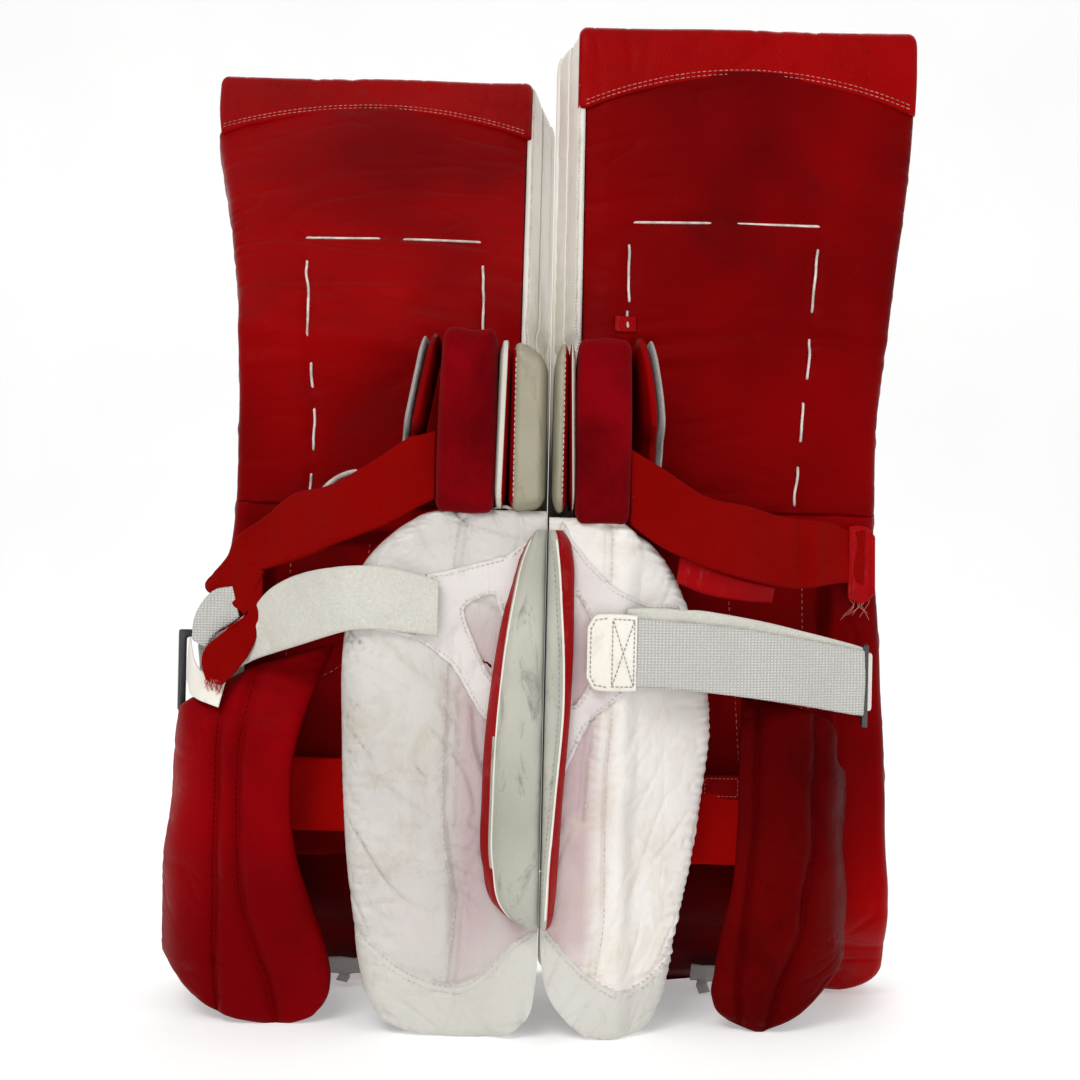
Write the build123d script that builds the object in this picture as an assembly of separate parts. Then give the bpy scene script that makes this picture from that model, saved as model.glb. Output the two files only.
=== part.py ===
from build123d import *
import math
import os

# A pair of ice-hockey goalie leg pads standing on the floor, in millimetres.
# X runs across the pair, with the right leg's pad on +X.  The leg side faces -Y,
# the front face +Y, and +Z is up.  The origin is on the floor, between the pads.
# Everything is drawn for the right leg's pad and mirrored for the left leg's pad.

# driving dimensions
pad_gap = 6.0  # between the two pads' front faces
face_width = 284.0  # at the boot
face_thick = 5.0
pad_thick = 56.0  # front face to thigh lining
front_y = 36.0
back_y = front_y - pad_thick
skin = 4.0  # lining sheets
medial_x = pad_gap / 2
lateral_x = medial_x + face_width
wall_slant = 17.0  # the inner wall leans out towards the front face
wall_thick = 5.0

thigh_length = 262.0
knee_break_z = 523.0  # upper knee break: the thigh rise folds here
knee_bottom_z = 387.0  # lower knee break, where the shin channel starts
ankle_z = 96.0  # boot break
boot_angle = 35.0
channel_depth = 16.0
channel_x = (62.0, 228.0)

# moves the finished pair so that the origin is under the middle of its depth
centre_shift_y = -24.7

# how far the thigh rise leans forward at rest, and its reach either way
thigh_lean = {"right": 9.0, "left": 33.0}

wrap_back_y = -118.0  # rear surface of the inner calf wrap
wrap_thick = 16.0
seam_x = 52.0  # the channel seam where the inner wrap hinges
flap_curl = {"right": 33.0, "left": 0.0}

wedge_z = (84.0, 378.0)
block_z = (388.0, 521.0)
block_front_y = -25.0
block_back_y = -122.0

elastic_thick = 3.0
webbing_thick = 3.0
ring_wire = {"right": 4.6, "left": 6.2}
ring_rounding = {"right": 1.2, "left": 2.0}
ring_bore = {"right": 3.7, "left": 4.3}
ring_height = 64.0


def solid_along(points, direction, length):
    """A polygon of 3-D points pushed straight along one direction."""
    outline = make_face(Polyline(*points, close=True))
    return extrude(outline, amount=length, dir=direction)


def plan(points, z0, z1):
    """A prism with its section in the XY plane."""
    return solid_along([(x, y, z0) for x, y in points], (0, 0, 1), z1 - z0)


def across(points, y0, y1):
    """A prism with its outline in the XZ plane."""
    return solid_along([(x, y0, z) for x, z in points], (0, 1, 0), y1 - y0)


def profile(points, x0, x1):
    """A prism with its section in the YZ plane."""
    return solid_along([(x0, y, z) for y, z in points], (1, 0, 0), x1 - x0)


def box(x, y, z):
    """A box from three (low, high) pairs."""
    size = Box(x[1] - x[0], y[1] - y[0], z[1] - z[0])
    return Pos((x[0] + x[1]) / 2, (y[0] + y[1]) / 2, (z[0] + z[1]) / 2) * size


def turned(shape, point, direction, angle):
    """The shape turned about a line through a point."""
    return shape.rotate(Axis(point, direction), angle)


def wall_inside(y):
    """X of the inner side of the slanted medial wall at a depth y."""
    return medial_x + wall_thick + wall_slant * (front_y - y) / pad_thick


core_front = front_y - face_thick
core_back = back_y + skin


# ---- thigh rise: core, front skin, back lining, top cap, medial wall, lacing


def thigh_edge(z):
    """Lateral edge of the thigh rise, wider at the top."""
    return 262.0 + 28.0 * (z - knee_break_z) / thigh_length


def thigh_core(z0, z1):
    corner = [
        (wall_inside(core_front), z0),
        (thigh_edge(z0), z0),
        (thigh_edge(z1), z1),
        (wall_inside(core_front), z1),
    ]
    body = across(corner, core_back, core_front)
    bevel = plan(
        [
            (wall_inside(core_front) - 30, core_back - 1),
            (wall_inside(core_back - 1), core_back - 1),
            (wall_inside(core_front + 1), core_front + 1),
            (wall_inside(core_front) - 30, core_front + 1),
        ],
        z0 - 1,
        z1 + 1,
    )
    return body - bevel


def medial_wall(z0, z1):
    section = [
        (medial_x, front_y),
        (medial_x + wall_thick, front_y),
        (wall_inside(back_y), back_y),
        (wall_inside(back_y) - wall_thick, back_y),
    ]
    return plan(section, z0, z1)


def lining_panel(z0, z1, y0, edge):
    start = wall_inside(back_y)
    outline = [(start, z0), (edge(z0), z0), (edge(z1), z1), (start, z1)]
    return across(outline, y0, y0 + skin)


def front_skin(levels, edge):
    """Front skin whose lateral edge follows the pad's outline a little proud."""
    start = wall_inside(core_front)
    outline = [(edge(z) + 3, z) for z in levels]
    outline += [(start, levels[-1]), (start, levels[0])]
    return across(outline, core_front, front_y)


def top_cap():
    """Leather cap over the top edge, with an arched lower seam."""
    top = knee_break_z + thigh_length + 4
    half = (297.0 - 18.0) / 2
    middle = 18.0 + half
    rise = 23.0
    low = 723.0
    radius = (half**2 + rise**2) / (2 * rise)
    outer = box((18, 297), (back_y - 3, front_y + 3), (low, top))
    arch = Pos(middle, 0, low + rise - radius) * Cylinder(
        radius, 90, rotation=(90, 0, 0)
    )
    filled = box(
        (wall_inside(back_y) - 12, 294), (back_y, front_y), (low - 1, top - 4)
    )
    cap = outer - arch - filled
    return cap


def lace(points):
    """One flat lace run between two eyelets on the back lining."""
    (x0, z0), (x1, z1) = points
    run = math.hypot(x1 - x0, z1 - z0)
    turn = math.degrees(math.atan2(z1 - z0, x1 - x0))
    bar = Box(run, 1.6, 3.0)
    bar = bar.rotate(Axis.Y, -turn)
    return Pos((x0 + x1) / 2, back_y - 0.8, (z0 + z1) / 2) * bar


def lacing(runs):
    """Separate lace runs as the solids of one piece."""
    bars = Part()
    for run in runs:
        bars += lace(run)
    return bars


thigh_laces = [
    ((63, 630), (131, 630)),
    ((147, 629), (216, 629)),
    ((61, 613), (61, 568)),
    ((58, 546), (58, 532)),
    ((214, 611), (209, 573)),
    ((207, 562), (205, 530)),
]


# ---- shin: core with the leg channel, front skin, wall, linings


shin_levels = [ankle_z + 1, 250.0, knee_bottom_z, knee_break_z - 1]


def shin_edge(z):
    """Lateral edge of the shin, narrowest at the knee."""
    if z >= knee_bottom_z:
        return 262.0
    if z >= 250.0:
        return 262.0 + 12.0 * (knee_bottom_z - z) / (knee_bottom_z - 250.0)
    return 274.0 + 9.0 * (250.0 - z) / (250.0 - ankle_z)


def shin_core():
    outline = [(shin_edge(z), z) for z in shin_levels]
    outline += [(wall_inside(core_front), z) for z in (knee_break_z - 1, ankle_z + 1)]
    body = across(outline, core_back, core_front)
    bevel = plan(
        [
            (wall_inside(core_front) - 30, core_back - 1),
            (wall_inside(core_back - 1), core_back - 1),
            (wall_inside(core_front + 1), core_front + 1),
            (wall_inside(core_front) - 30, core_front + 1),
        ],
        0,
        knee_break_z + 1,
    )
    channel = box(
        channel_x,
        (core_back - 1, core_back + channel_depth),
        (ankle_z - 1, knee_bottom_z - 12),
    )
    return body - bevel - channel


def shin_liner():
    y0 = core_back + channel_depth - skin
    return box(
        (channel_x[0] + 2, channel_x[1] - 2), (y0, y0 + skin), (112, knee_bottom_z - 14)
    )


def inner_strap():
    """Wide elastic across the shin channel, just above the boot."""
    rear = core_back - 8
    section = [
        (channel_x[0] + 1, core_back - 1),
        (channel_x[0] + 20, rear),
        (channel_x[1] - 20, rear),
        (channel_x[1] - 1, core_back - 1),
        (channel_x[1] + 10, core_back - 0.2),
        (channel_x[1] + 10, core_back - 3),
        (channel_x[1] - 18, rear - 3),
        (channel_x[0] + 18, rear - 3),
        (channel_x[0] - 9, core_back - 3),
        (channel_x[0] - 9, core_back - 0.2),
    ]
    return plan(section, 118, 176)


# ---- boot: slab bent forward, lining, front skin, toe bridge


def boot_line(y_offset):
    """Points where a line parallel to the boot's front face meets break and floor."""
    a = math.radians(boot_angle)
    top = (front_y + y_offset * math.cos(a), ankle_z + y_offset * math.sin(a))
    foot = (top[0] + top[1] * math.tan(a), 0.0)
    return top, foot


def boot_slab(near, far, x0, x1):
    top_near, foot_near = boot_line(-near)
    top_far, foot_far = boot_line(-far)
    return profile([top_near, top_far, foot_far, foot_near], x0, x1)


def toe_bridge():
    """Stiff lace tab at the foot of the boot channel, with two eyelets."""
    top, foot = boot_line(-(pad_thick - 4))
    plate = Box(52, 5, 26)
    for x in (-15, 15):
        plate -= Pos(x, 0, -3) * Cylinder(4, 12, rotation=(90, 0, 0))
    plate = plate.rotate(Axis.X, boot_angle)
    return Pos(150, foot[0] - 16.5, 19) * plate


# ---- inner calf wrap: fixed base, hinged flap, patch and calf strap


def wrap_outline():
    """Tongue outline of the inner wrap in XZ, seen from the leg side."""
    return [
        (6, 82),
        (6, 34),
        (22, 12),
        (44, 0),
        (74, 0),
        (104, 8),
        (130, 34),
        (143, 78),
        (149, 150),
        (151, 270),
        (142, 325),
        (120, 350),
        (70, 374),
        (24, 380),
        (6, 380),
    ]


def wrap_base(side):
    beside_wedge = {
        "right": [(22.5, wrap_back_y), (22.5, wrap_back_y + 60)],
        "left": [
            (43, wrap_back_y),
            (42.5, wrap_back_y + 18),
            (31, wrap_back_y + 60),
        ],
    }
    column = plan(
        [
            (27, back_y - 0.5),
            (42, back_y - 0.5),
            (seam_x, wrap_back_y + 20),
            (seam_x, wrap_back_y),
        ]
        + beside_wedge[side],
        wedge_z[0] - 6,
        380,
    )
    foot = plan(
        [
            (27, back_y - 0.5),
            (42, back_y - 0.5),
            (seam_x, wrap_back_y + 20),
            (seam_x, wrap_back_y),
            (6, wrap_back_y),
            (6, wrap_back_y + 18),
            (22, wrap_back_y + 52),
        ],
        0,
        wedge_z[0] - 6,
    )
    outline = across(wrap_outline(), wrap_back_y - 1, 0)
    return (column + foot) & outline


def inner_flap(side):
    outline = across(wrap_outline(), wrap_back_y, wrap_back_y + wrap_thick)
    keep = box((seam_x, 200), (-150, 0), (-1, 400))
    flap = outline & keep
    flap = turned(flap, (seam_x, wrap_back_y, 0), (0, 0, 1), flap_curl[side])
    return flap & box((seam_x + 0.5, 200), (-150, 0), (-1, 400))


def strap_patch():
    outline = [(33, 269), (33, 307), (38, 316), (51.5, 316), (51.5, 262), (38, 262)]
    return across(outline, wrap_back_y - webbing_thick, wrap_back_y)


# ---- calf wedge


def calf_wedge(side):
    """Long plank on the inner side, white behind and red on its lateral face."""
    if side == "right":
        section = [(3.5, -24), (20, -24), (20, -60), (21.5, -100)]
        section += [(21.5, -118), (11, -131), (5, -134), (3.5, -130)]
        wide = 21.5
    else:
        section = [(3.5, -24), (22, -24), (29, -60), (41, -101)]
        section += [(42, -116), (31, -132), (9, -134), (3.5, -126)]
        wide = 42
    plank = plan(section, wedge_z[0], wedge_z[1])
    outline = [
        (3.5, 110),
        (3.5 + 0.2 * wide, 92),
        (0.5 * wide, wedge_z[0]),
        (0.8 * wide, 100),
        (wide, 130),
        (wide, 330),
        (0.8 * wide, 360),
        (0.4 * wide, wedge_z[1]),
        (3.5, wedge_z[1]),
    ]
    return plank & across(outline, -140, 0)


# ---- outer calf wrap


def outer_wrap(side):
    if side == "right":
        section = [
            (239.5, -24),
            (239.5, -50),
            (226, -74),
            (200, -84),
            (140, -80),
            (137, -66),
            (196, -68),
            (214, -61),
            (223, -46),
            (223, -24),
        ]
        outline = [
            (137, 70),
            (137, 14),
            (150, 0),
            (212, 0),
            (239.5, 22),
            (239.5, 214),
            (222, 224),
            (214, 245),
            (176, 245),
            (158, 190),
            (147, 120),
        ]
    else:
        section = [
            (286.5, -24),
            (286.5, -48),
            (272, -74),
            (240, -88),
            (161, -84),
            (158, -69),
            (236, -71),
            (262, -60),
            (271, -44),
            (271, -24),
        ]
        outline = [
            (162, 60),
            (158, 20),
            (172, 0),
            (220, 0),
            (262, 18),
            (286.5, 62),
            (286.5, 130),
            (272, 200),
            (244, 248),
            (192, 272),
            (182, 235),
            (182, 150),
        ]
    return plan(section, 0, 290) & across(outline, -100, 0)


# ---- knee stack: outer pad, leaf, block, wing, loop strip


def knee_stack(side):
    if side == "right":
        edges = {"outer": (3.5, 19), "leaf": (20, 26), "block": (27, 68)}
        wing, felt = (69, 80), (80, 83)
    else:
        edges = {"outer": (3.5, 31), "leaf": (32, 40), "block": (41, 83)}
        wing, felt = (84, 94), (94, 97)
    low, high = block_z
    pieces = {}
    heights = {"outer": (low + 3, high - 3), "leaf": (low + 1, high - 6)}
    heights["block"] = (low, high)
    for name, (x0, x1) in edges.items():
        z0, z1 = heights[name]
        piece = box((x0, x1), (block_back_y, block_front_y), (z0, z1))
        rear = piece.edges().filter_by(Axis.X).group_by(Axis.Y)[0]
        pieces[name] = fillet(rear, 14 if name == "block" else 18)
    pieces["wing"] = box(wing, (-112, -40), (low + 12, high - 2))
    pieces["loop_strip"] = box(felt, (-108, -52), (low + 24, high - 6))
    return pieces


# ---- straps across the back


def strap_band(path, width_points, thick):
    """A flat band: its route in plan, cut to its outline seen from behind."""
    rear = [(x, y - thick) for x, y in reversed(path)]
    sheet = plan(list(path) + rear, 200, 480)
    return sheet & across(width_points, -150, 0)


def knee_strap(side):
    if side == "right":
        path = [(84, -106), (130, -98), (200, -52), (254, -23)]
        outline = [(84, 430), (130, 404), (218, 390), (254, 388)]
        outline += [(254, 338), (218, 341), (140, 356), (84, 384)]
    else:
        path = [(98, -104), (150, -98), (215, -55), (268, -25)]
        outline = [(98, 452), (150, 425), (210, 398), (262, 352), (268, 330)]
        outline += [(266, 300), (240, 322), (195, 350), (150, 371), (98, 396)]
    band = strap_band(path, outline, elastic_thick)
    if side == "left":
        # the spare end folds back at the pad's edge and hangs down
        fold = box((258, 268), (-62, -25.5), (322, 328))
        tail = [(268, 328), (271, 300), (262, 256), (246, 254), (250, 304), (256, 328)]
        band = band + fold + across(tail, -62, -59)
    return band


def hook_tab():
    """Stitched leather tab that holds the knee strap at the lateral edge."""
    return box((240, 261), (back_y - 2.4, back_y), (334, 392))


def calf_strap(side):
    if side == "right":
        path = [(52.6, -118.4), (140, -104), (236, -62), (244.5, -56)]
        outline = [(52.6, 314), (140, 309), (244.5, 299)]
        outline += [(244.5, 249), (140, 256), (52.6, 263)]
    else:
        path = [(80, -118.4), (150, -118.4), (235, -52), (288, -44)]
        outline = [(80, 345), (150, 341), (210, 325), (288, 296)]
        outline += [(288, 262), (250, 262), (215, 272), (150, 292), (80, 297)]
    return strap_band(path, outline, webbing_thick)


def strap_ring(side, bar, out):
    """Rectangular wire ring: inner bar at `bar`, outer bar at `out`, both vertical."""
    low = 231.0
    high = low + ring_height
    wire = ring_wire[side]
    reach = math.hypot(out[0] - bar[0], out[1] - bar[1])
    frame = Box(reach + wire, wire, ring_height)
    frame -= Box(reach - wire, 20, ring_height - 2 * wire)
    frame = fillet(frame.edges(), ring_rounding[side])
    frame = Pos(reach / 2, 0, 0) * frame
    turn = math.degrees(math.atan2(out[1] - bar[1], out[0] - bar[0]))
    frame = frame.rotate(Axis.Z, turn)
    return Pos(bar[0], bar[1], (low + high) / 2) * frame


def ring_tab(side, bar):
    """Leather loop sewn to the pad's edge, round the ring's inner bar."""
    x, y = bar
    tab = box((x - 6.5, x + 6.5), (y - 6.5, back_y - 0.0), (242, 288))
    return tab - Pos(x, y, 265) * Cylinder(ring_bore[side], 60)


ring_place = {
    "right": ((252, -30), (249, -52.5)),
    "left": ((262, -30), (284, -38)),
}


# ---- assemble, lean the thigh, mirror the left pad and write the files


def pad(side):
    bar, out = ring_place[side]
    top = knee_break_z + thigh_length
    low = knee_break_z + 1
    thigh = {
        "thigh_core": thigh_core(low, top),
        "thigh_face": front_skin([low, top], thigh_edge),
        "thigh_lining": lining_panel(low, top, back_y, thigh_edge),
        "thigh_wall": medial_wall(low, top),
        "thigh_cap": top_cap(),
        "thigh_lacing": lacing(thigh_laces),
    }
    hinge = (0, front_y, knee_break_z)
    for name, shape in thigh.items():
        thigh[name] = turned(shape, hinge, (1, 0, 0), -thigh_lean[side])
    knee = knee_break_z - 1
    parts = dict(thigh)
    parts["shin_core"] = shin_core()
    parts["shin_face"] = front_skin(shin_levels, shin_edge)
    parts["shin_wall"] = medial_wall(ankle_z + 1, knee)
    parts["knee_lining"] = lining_panel(knee_bottom_z, knee, back_y, shin_edge)
    parts["shin_liner"] = shin_liner()
    parts["inner_strap"] = inner_strap()
    parts["boot_core"] = boot_slab(face_thick + 0.2, pad_thick - 8, 8, 284)
    parts["boot_face"] = boot_slab(0, face_thick, medial_x, lateral_x)
    parts["boot_lining"] = boot_slab(pad_thick - 8, pad_thick - 4, 12, 280)
    parts["toe_bridge"] = toe_bridge()
    parts["wrap_base"] = wrap_base(side)
    parts["inner_flap"] = inner_flap(side)
    parts["calf_strap"] = calf_strap(side)
    parts["calf_wedge"] = calf_wedge(side)
    parts["outer_wrap"] = outer_wrap(side)
    for name, shape in knee_stack(side).items():
        parts["knee_" + name] = shape
    parts["knee_strap"] = knee_strap(side)
    parts["strap_ring"] = strap_ring(side, bar, out)
    parts["ring_tab"] = ring_tab(side, bar)
    if side == "right":
        parts["strap_patch"] = strap_patch()
        parts["hook_tab"] = hook_tab()
    else:
        parts = {n: s.mirror(Plane.YZ) for n, s in parts.items()}
    return {side + "_" + n: s for n, s in parts.items()}


os.makedirs("parts", exist_ok=True)
for side in ("right", "left"):
    for name, shape in pad(side).items():
        export_step(Pos(0, centre_shift_y, 0) * shape, "parts/" + name + ".step")
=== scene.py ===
import bpy
import bmesh
import math
import numpy as np
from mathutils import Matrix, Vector
from mathutils.bvhtree import BVHTree
from mathutils.geometry import delaunay_2d_cdt

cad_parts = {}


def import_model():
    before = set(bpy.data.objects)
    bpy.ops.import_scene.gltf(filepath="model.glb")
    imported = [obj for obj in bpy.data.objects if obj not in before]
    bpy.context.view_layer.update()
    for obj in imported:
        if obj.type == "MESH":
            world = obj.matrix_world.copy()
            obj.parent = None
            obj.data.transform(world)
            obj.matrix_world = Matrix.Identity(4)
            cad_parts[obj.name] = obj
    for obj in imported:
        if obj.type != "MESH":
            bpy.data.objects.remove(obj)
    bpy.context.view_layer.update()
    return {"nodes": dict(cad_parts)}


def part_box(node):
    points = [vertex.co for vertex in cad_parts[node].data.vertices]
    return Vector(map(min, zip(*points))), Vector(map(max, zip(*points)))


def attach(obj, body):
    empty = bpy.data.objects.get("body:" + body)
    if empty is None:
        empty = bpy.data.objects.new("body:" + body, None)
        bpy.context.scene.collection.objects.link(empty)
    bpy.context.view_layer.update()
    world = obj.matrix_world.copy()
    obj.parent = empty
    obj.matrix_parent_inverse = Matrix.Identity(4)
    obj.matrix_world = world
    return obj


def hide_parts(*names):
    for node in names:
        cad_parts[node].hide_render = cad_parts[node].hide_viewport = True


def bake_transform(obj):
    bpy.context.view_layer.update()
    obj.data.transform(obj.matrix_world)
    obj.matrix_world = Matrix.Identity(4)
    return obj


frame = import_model()

# The two pads are drawn with X growing outwards from the gap between them, in
# millimetres, and set into the row frame by world().
SHIFT_Y = -24.7
SIGN = {"right": 1.0, "left": -1.0}
LEAN = {"right": 9.0, "left": 33.0}
FRONT = 36.0
BACK = -20.0
KNEE_Z = 523.0
ANKLE_Z = 96.0
BOOT_ANGLE = 35.0
SEAM_X = 52.0
WRAP_Y = -118.0


# ---------------------------------------------------------------- helpers


def world(points, side):
    p = np.asarray(points, float)
    out = np.empty_like(p)
    out[..., 0] = SIGN[side] * p[..., 0]
    out[..., 1] = p[..., 1] + SHIFT_Y
    out[..., 2] = p[..., 2]
    return out / 1000.0


def drawn(point, side):
    """A world point back in drawing millimetres."""
    return np.array(
        [point[0] * SIGN[side] * 1000, point[1] * 1000 - SHIFT_Y, point[2] * 1000]
    )


def sewn(ob, body):
    """Gives a piece the body that it moves with."""
    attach(ob, body)


def joined(ob, side, start, end):
    """Bakes a piece's placement into its mesh; the start and end places have no effect."""
    world(start, side)
    world(end, side)
    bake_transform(ob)


def step(t):
    """Goes from 0 to 1 with a soft start and end."""
    t = np.clip(t, 0.0, 1.0)
    return t * t * (3 - 2 * t)


def turn_x(p, angle, y0, z0):
    """Turns points about a line along X, by an angle in degrees for each point."""
    a = np.radians(angle)
    y = p[..., 1] - y0
    z = p[..., 2] - z0
    out = p.copy()
    out[..., 1] = y0 + y * np.cos(a) - z * np.sin(a)
    out[..., 2] = z0 + y * np.sin(a) + z * np.cos(a)
    return out


def lean(points, side):
    """Leans what is above the knee break forward, smoothly across the break."""
    p = np.array(points, float)
    w = step((p[..., 2] - (KNEE_Z - 17)) / 34.0)
    return turn_x(p, -LEAN[side] * w, FRONT, KNEE_Z)


def boot_bend(points):
    """Bends what is below the ankle forward."""
    p = np.array(points, float)
    w = step(((ANKLE_Z + 14) - p[..., 2]) / 28.0)
    return turn_x(p, BOOT_ANGLE * w, FRONT, ANKLE_Z)


def curve(table, t):
    """Smooth curve through (key, value) rows, read at t."""
    rows = np.array(sorted(table), float)
    k, v = rows[:, 0], rows[:, 1]
    d = np.gradient(v, k)
    t = np.clip(np.asarray(t, float), k[0], k[-1])
    i = np.clip(np.searchsorted(k, t) - 1, 0, len(k) - 2)
    h = k[i + 1] - k[i]
    s = (t - k[i]) / h
    a = 2 * s**3 - 3 * s**2 + 1
    b = s**3 - 2 * s**2 + s
    c = -2 * s**3 + 3 * s**2
    e = s**3 - s**2
    return a * v[i] + b * h * d[i] + c * v[i + 1] + e * h * d[i + 1]


def spline(points, count):
    """Evenly spaced points along a smooth line through the given ones."""
    p = np.asarray(points, float)
    ext = np.vstack([2 * p[0] - p[1], p, 2 * p[-1] - p[-2]])
    fine = []
    for i in range(1, len(ext) - 2):
        s = np.linspace(0, 1, 24, endpoint=False)[:, None]
        a, b, c, d = ext[i - 1], ext[i], ext[i + 1], ext[i + 2]
        fine.append(
            0.5
            * (
                2 * b
                + (c - a) * s
                + (2 * a - 5 * b + 4 * c - d) * s**2
                + (3 * b - a - 3 * c + d) * s**3
            )
        )
    fine = np.vstack(fine + [p[-1:]])
    return even(fine, count)


def even(points, count):
    p = np.asarray(points, float)
    gaps = np.linalg.norm(np.diff(p, axis=0), axis=1)
    along = np.concatenate([[0], np.cumsum(gaps)])
    want = np.linspace(0, along[-1], count)
    return np.stack([np.interp(want, along, p[:, k]) for k in range(p.shape[1])], 1)


def waves(x, z, length, seed, stretch=1.0, angle=0.0):
    """Smooth irregular waves of about one unit; stretch lengthens them along angle."""
    r = np.random.default_rng(seed)
    a = math.radians(angle)
    along = (x * math.cos(a) + z * math.sin(a)) / stretch
    over = -x * math.sin(a) + z * math.cos(a)
    out = 0.0
    for _ in range(9):
        b = r.uniform(0, 2 * math.pi)
        k = 2 * math.pi / length * r.uniform(0.55, 1.6)
        out = out + np.sin(k * (along * math.cos(b) + over * math.sin(b)) + r.uniform(0, 6.3))
    return out / 2.2


def folds(x, z, length, seed, stretch=3.0, angle=0.0, sharp=0.28):
    """Narrow valleys that wander over a surface, 0 to 1."""
    w = waves(x, z, length, seed, stretch, angle)
    m = step(0.5 + 0.6 * waves(x, z, length * 2.5, seed + 50))
    return np.exp(-((w / sharp) ** 2)) * m


def near(x, z, line):
    """Distance of every point to a line of points."""
    p = np.asarray(line, float)
    best = np.full(np.shape(x), 1e9)
    for a, b in zip(p[:-1], p[1:]):
        d = b - a
        t = np.clip(((x - a[0]) * d[0] + (z - a[1]) * d[1]) / (d @ d), 0, 1)
        best = np.minimum(best, np.hypot(x - a[0] - t * d[0], z - a[1] - t * d[1]))
    return best


def edge_round(d, r):
    """0 at an edge, 1 at a distance r inside it, on a quarter circle."""
    t = np.clip(d / r, 0, 1)
    return np.sqrt(np.clip(1 - (1 - t) ** 2, 0, 1))


def finish_mesh(name, bm, mats, smooth=True):
    bmesh.ops.remove_doubles(bm, verts=bm.verts, dist=2e-5)
    bmesh.ops.dissolve_degenerate(bm, edges=bm.edges, dist=1e-6)
    bmesh.ops.recalc_face_normals(bm, faces=bm.faces)
    me = bpy.data.meshes.new(name)
    bm.to_mesh(me)
    bm.free()
    for m in mats:
        me.materials.append(m)
    if smooth:
        me.polygons.foreach_set("use_smooth", [True] * len(me.polygons))
    ob = bpy.data.objects.new(name, me)
    bpy.context.collection.objects.link(ob)
    return ob


def loft(name, rings, side, mats, pick=None, caps=True):
    """Closed skin over rings of points; pick(centre, normal) chooses a material."""
    rings = np.asarray(rings, float)
    k, n = rings.shape[:2]
    pts = world(rings, side)
    bm = bmesh.new()
    verts = [[bm.verts.new(p) for p in ring] for ring in pts]
    for i in range(k - 1):
        for j in range(n):
            m = (j + 1) % n
            quad = (verts[i][j], verts[i][m], verts[i + 1][m], verts[i + 1][j])
            bm.faces.new(quad)
    if caps:
        for ring in (verts[0], verts[-1]):
            middle = sum((v.co for v in ring), Vector()) / n
            centre = bm.verts.new(middle)
            for j in range(n):
                bm.faces.new((ring[j], ring[(j + 1) % n], centre))
    ob = finish_mesh(name, bm, mats)
    if pick:
        for poly in ob.data.polygons:
            c = drawn(poly.center, side)
            nrm = np.array(poly.normal) * np.array([SIGN[side], 1, 1])
            poly.material_index = pick(c, nrm)
    return ob


def shell(name, rear, front, side, mats, pick=None):
    """Closed skin between a rear and a front grid that meet at their edges."""
    rings = np.concatenate([rear, front[:, ::-1]], axis=1)
    return loft(name, rings, side, mats, pick)


def bvh(ob):
    me = ob.data
    verts = [v.co.copy() for v in me.vertices]
    return BVHTree.FromPolygons(verts, [tuple(p.vertices) for p in me.polygons])


def hit(tree, x, z, side):
    """Where a line from behind meets a surface: point and normal in drawing mm."""
    o = world([x, -400.0, z], side)
    loc, nrm, _, _ = tree.ray_cast(Vector(o), Vector((0, 1, 0)))
    if loc is None:
        return None, None
    n = np.array(nrm) * np.array([SIGN[side], 1, 1])
    return drawn(loc, side), n / np.linalg.norm(n)


def onto(tree, line, side, lift=0.0):
    """A line of (x, z) laid on a surface, as points and normals."""
    pts, nrms = [], []
    for x, z in line:
        p, n = hit(tree, x, z, side)
        if p is None:
            continue
        pts.append(p + n * lift)
        nrms.append(n)
    return np.array(pts), np.array(nrms)


def stitches(name, line, nrms, side, mat, pitch=5.0, length=3.3, radius=0.5, cross=0):
    """Short raised thread stitches along a line of points."""
    line = np.asarray(line, float)
    if len(line) < 2:
        return None
    gaps = np.linalg.norm(np.diff(line, axis=0), axis=1)
    total = gaps.sum()
    count = max(2, int(total / pitch))
    along = np.concatenate([[0], np.cumsum(gaps)])
    mids = (np.arange(count) + 0.5) * total / count
    bm = bmesh.new()
    r = np.random.default_rng(len(name) + count)
    for s in mids:
        c = np.array([np.interp(s, along, line[:, k]) for k in range(3)])
        e = np.array([np.interp(s + 0.5, along, line[:, k]) for k in range(3)])
        b = np.array([np.interp(s - 0.5, along, line[:, k]) for k in range(3)])
        t = e - b
        t = t / (np.linalg.norm(t) + 1e-9)
        i = min(int(np.searchsorted(along, s)), len(nrms) - 1)
        n = nrms[i] - t * (nrms[i] @ t)
        n = n / (np.linalg.norm(n) + 1e-9)
        q = np.cross(t, n)
        if cross:
            t, q = (t * math.cos(cross) + q * math.sin(cross), q)
            q = np.cross(t, n)
        half = length / 2 * r.uniform(0.9, 1.1)
        rings = []
        for f, g in ((-1, 0.35), (-0.72, 1.0), (0.72, 1.0), (1, 0.35)):
            centre = c + t * half * f + n * (0.12 if abs(f) < 1 else -0.1)
            ring = []
            for a in np.linspace(0, 2 * math.pi, 6, endpoint=False):
                off = (n * math.cos(a) * 0.8 + q * math.sin(a)) * radius * g
                ring.append(bm.verts.new(world(centre + off, side)))
            rings.append(ring)
        for u in range(3):
            for v in range(6):
                w = (v + 1) % 6
                bm.faces.new((rings[u][v], rings[u][w], rings[u + 1][w], rings[u + 1][v]))
        bm.faces.new(rings[0])
        bm.faces.new(rings[-1])
    return finish_mesh(name, bm, [mat])


def sewn_line(name, tree, line, side, lift, mat, pitch, length, radius):
    """Stitches along a line of (x, z) laid on a surface."""
    p, n = onto(tree, line, side, lift)
    return stitches(name, p, n, side, mat, pitch, length, radius)


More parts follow.
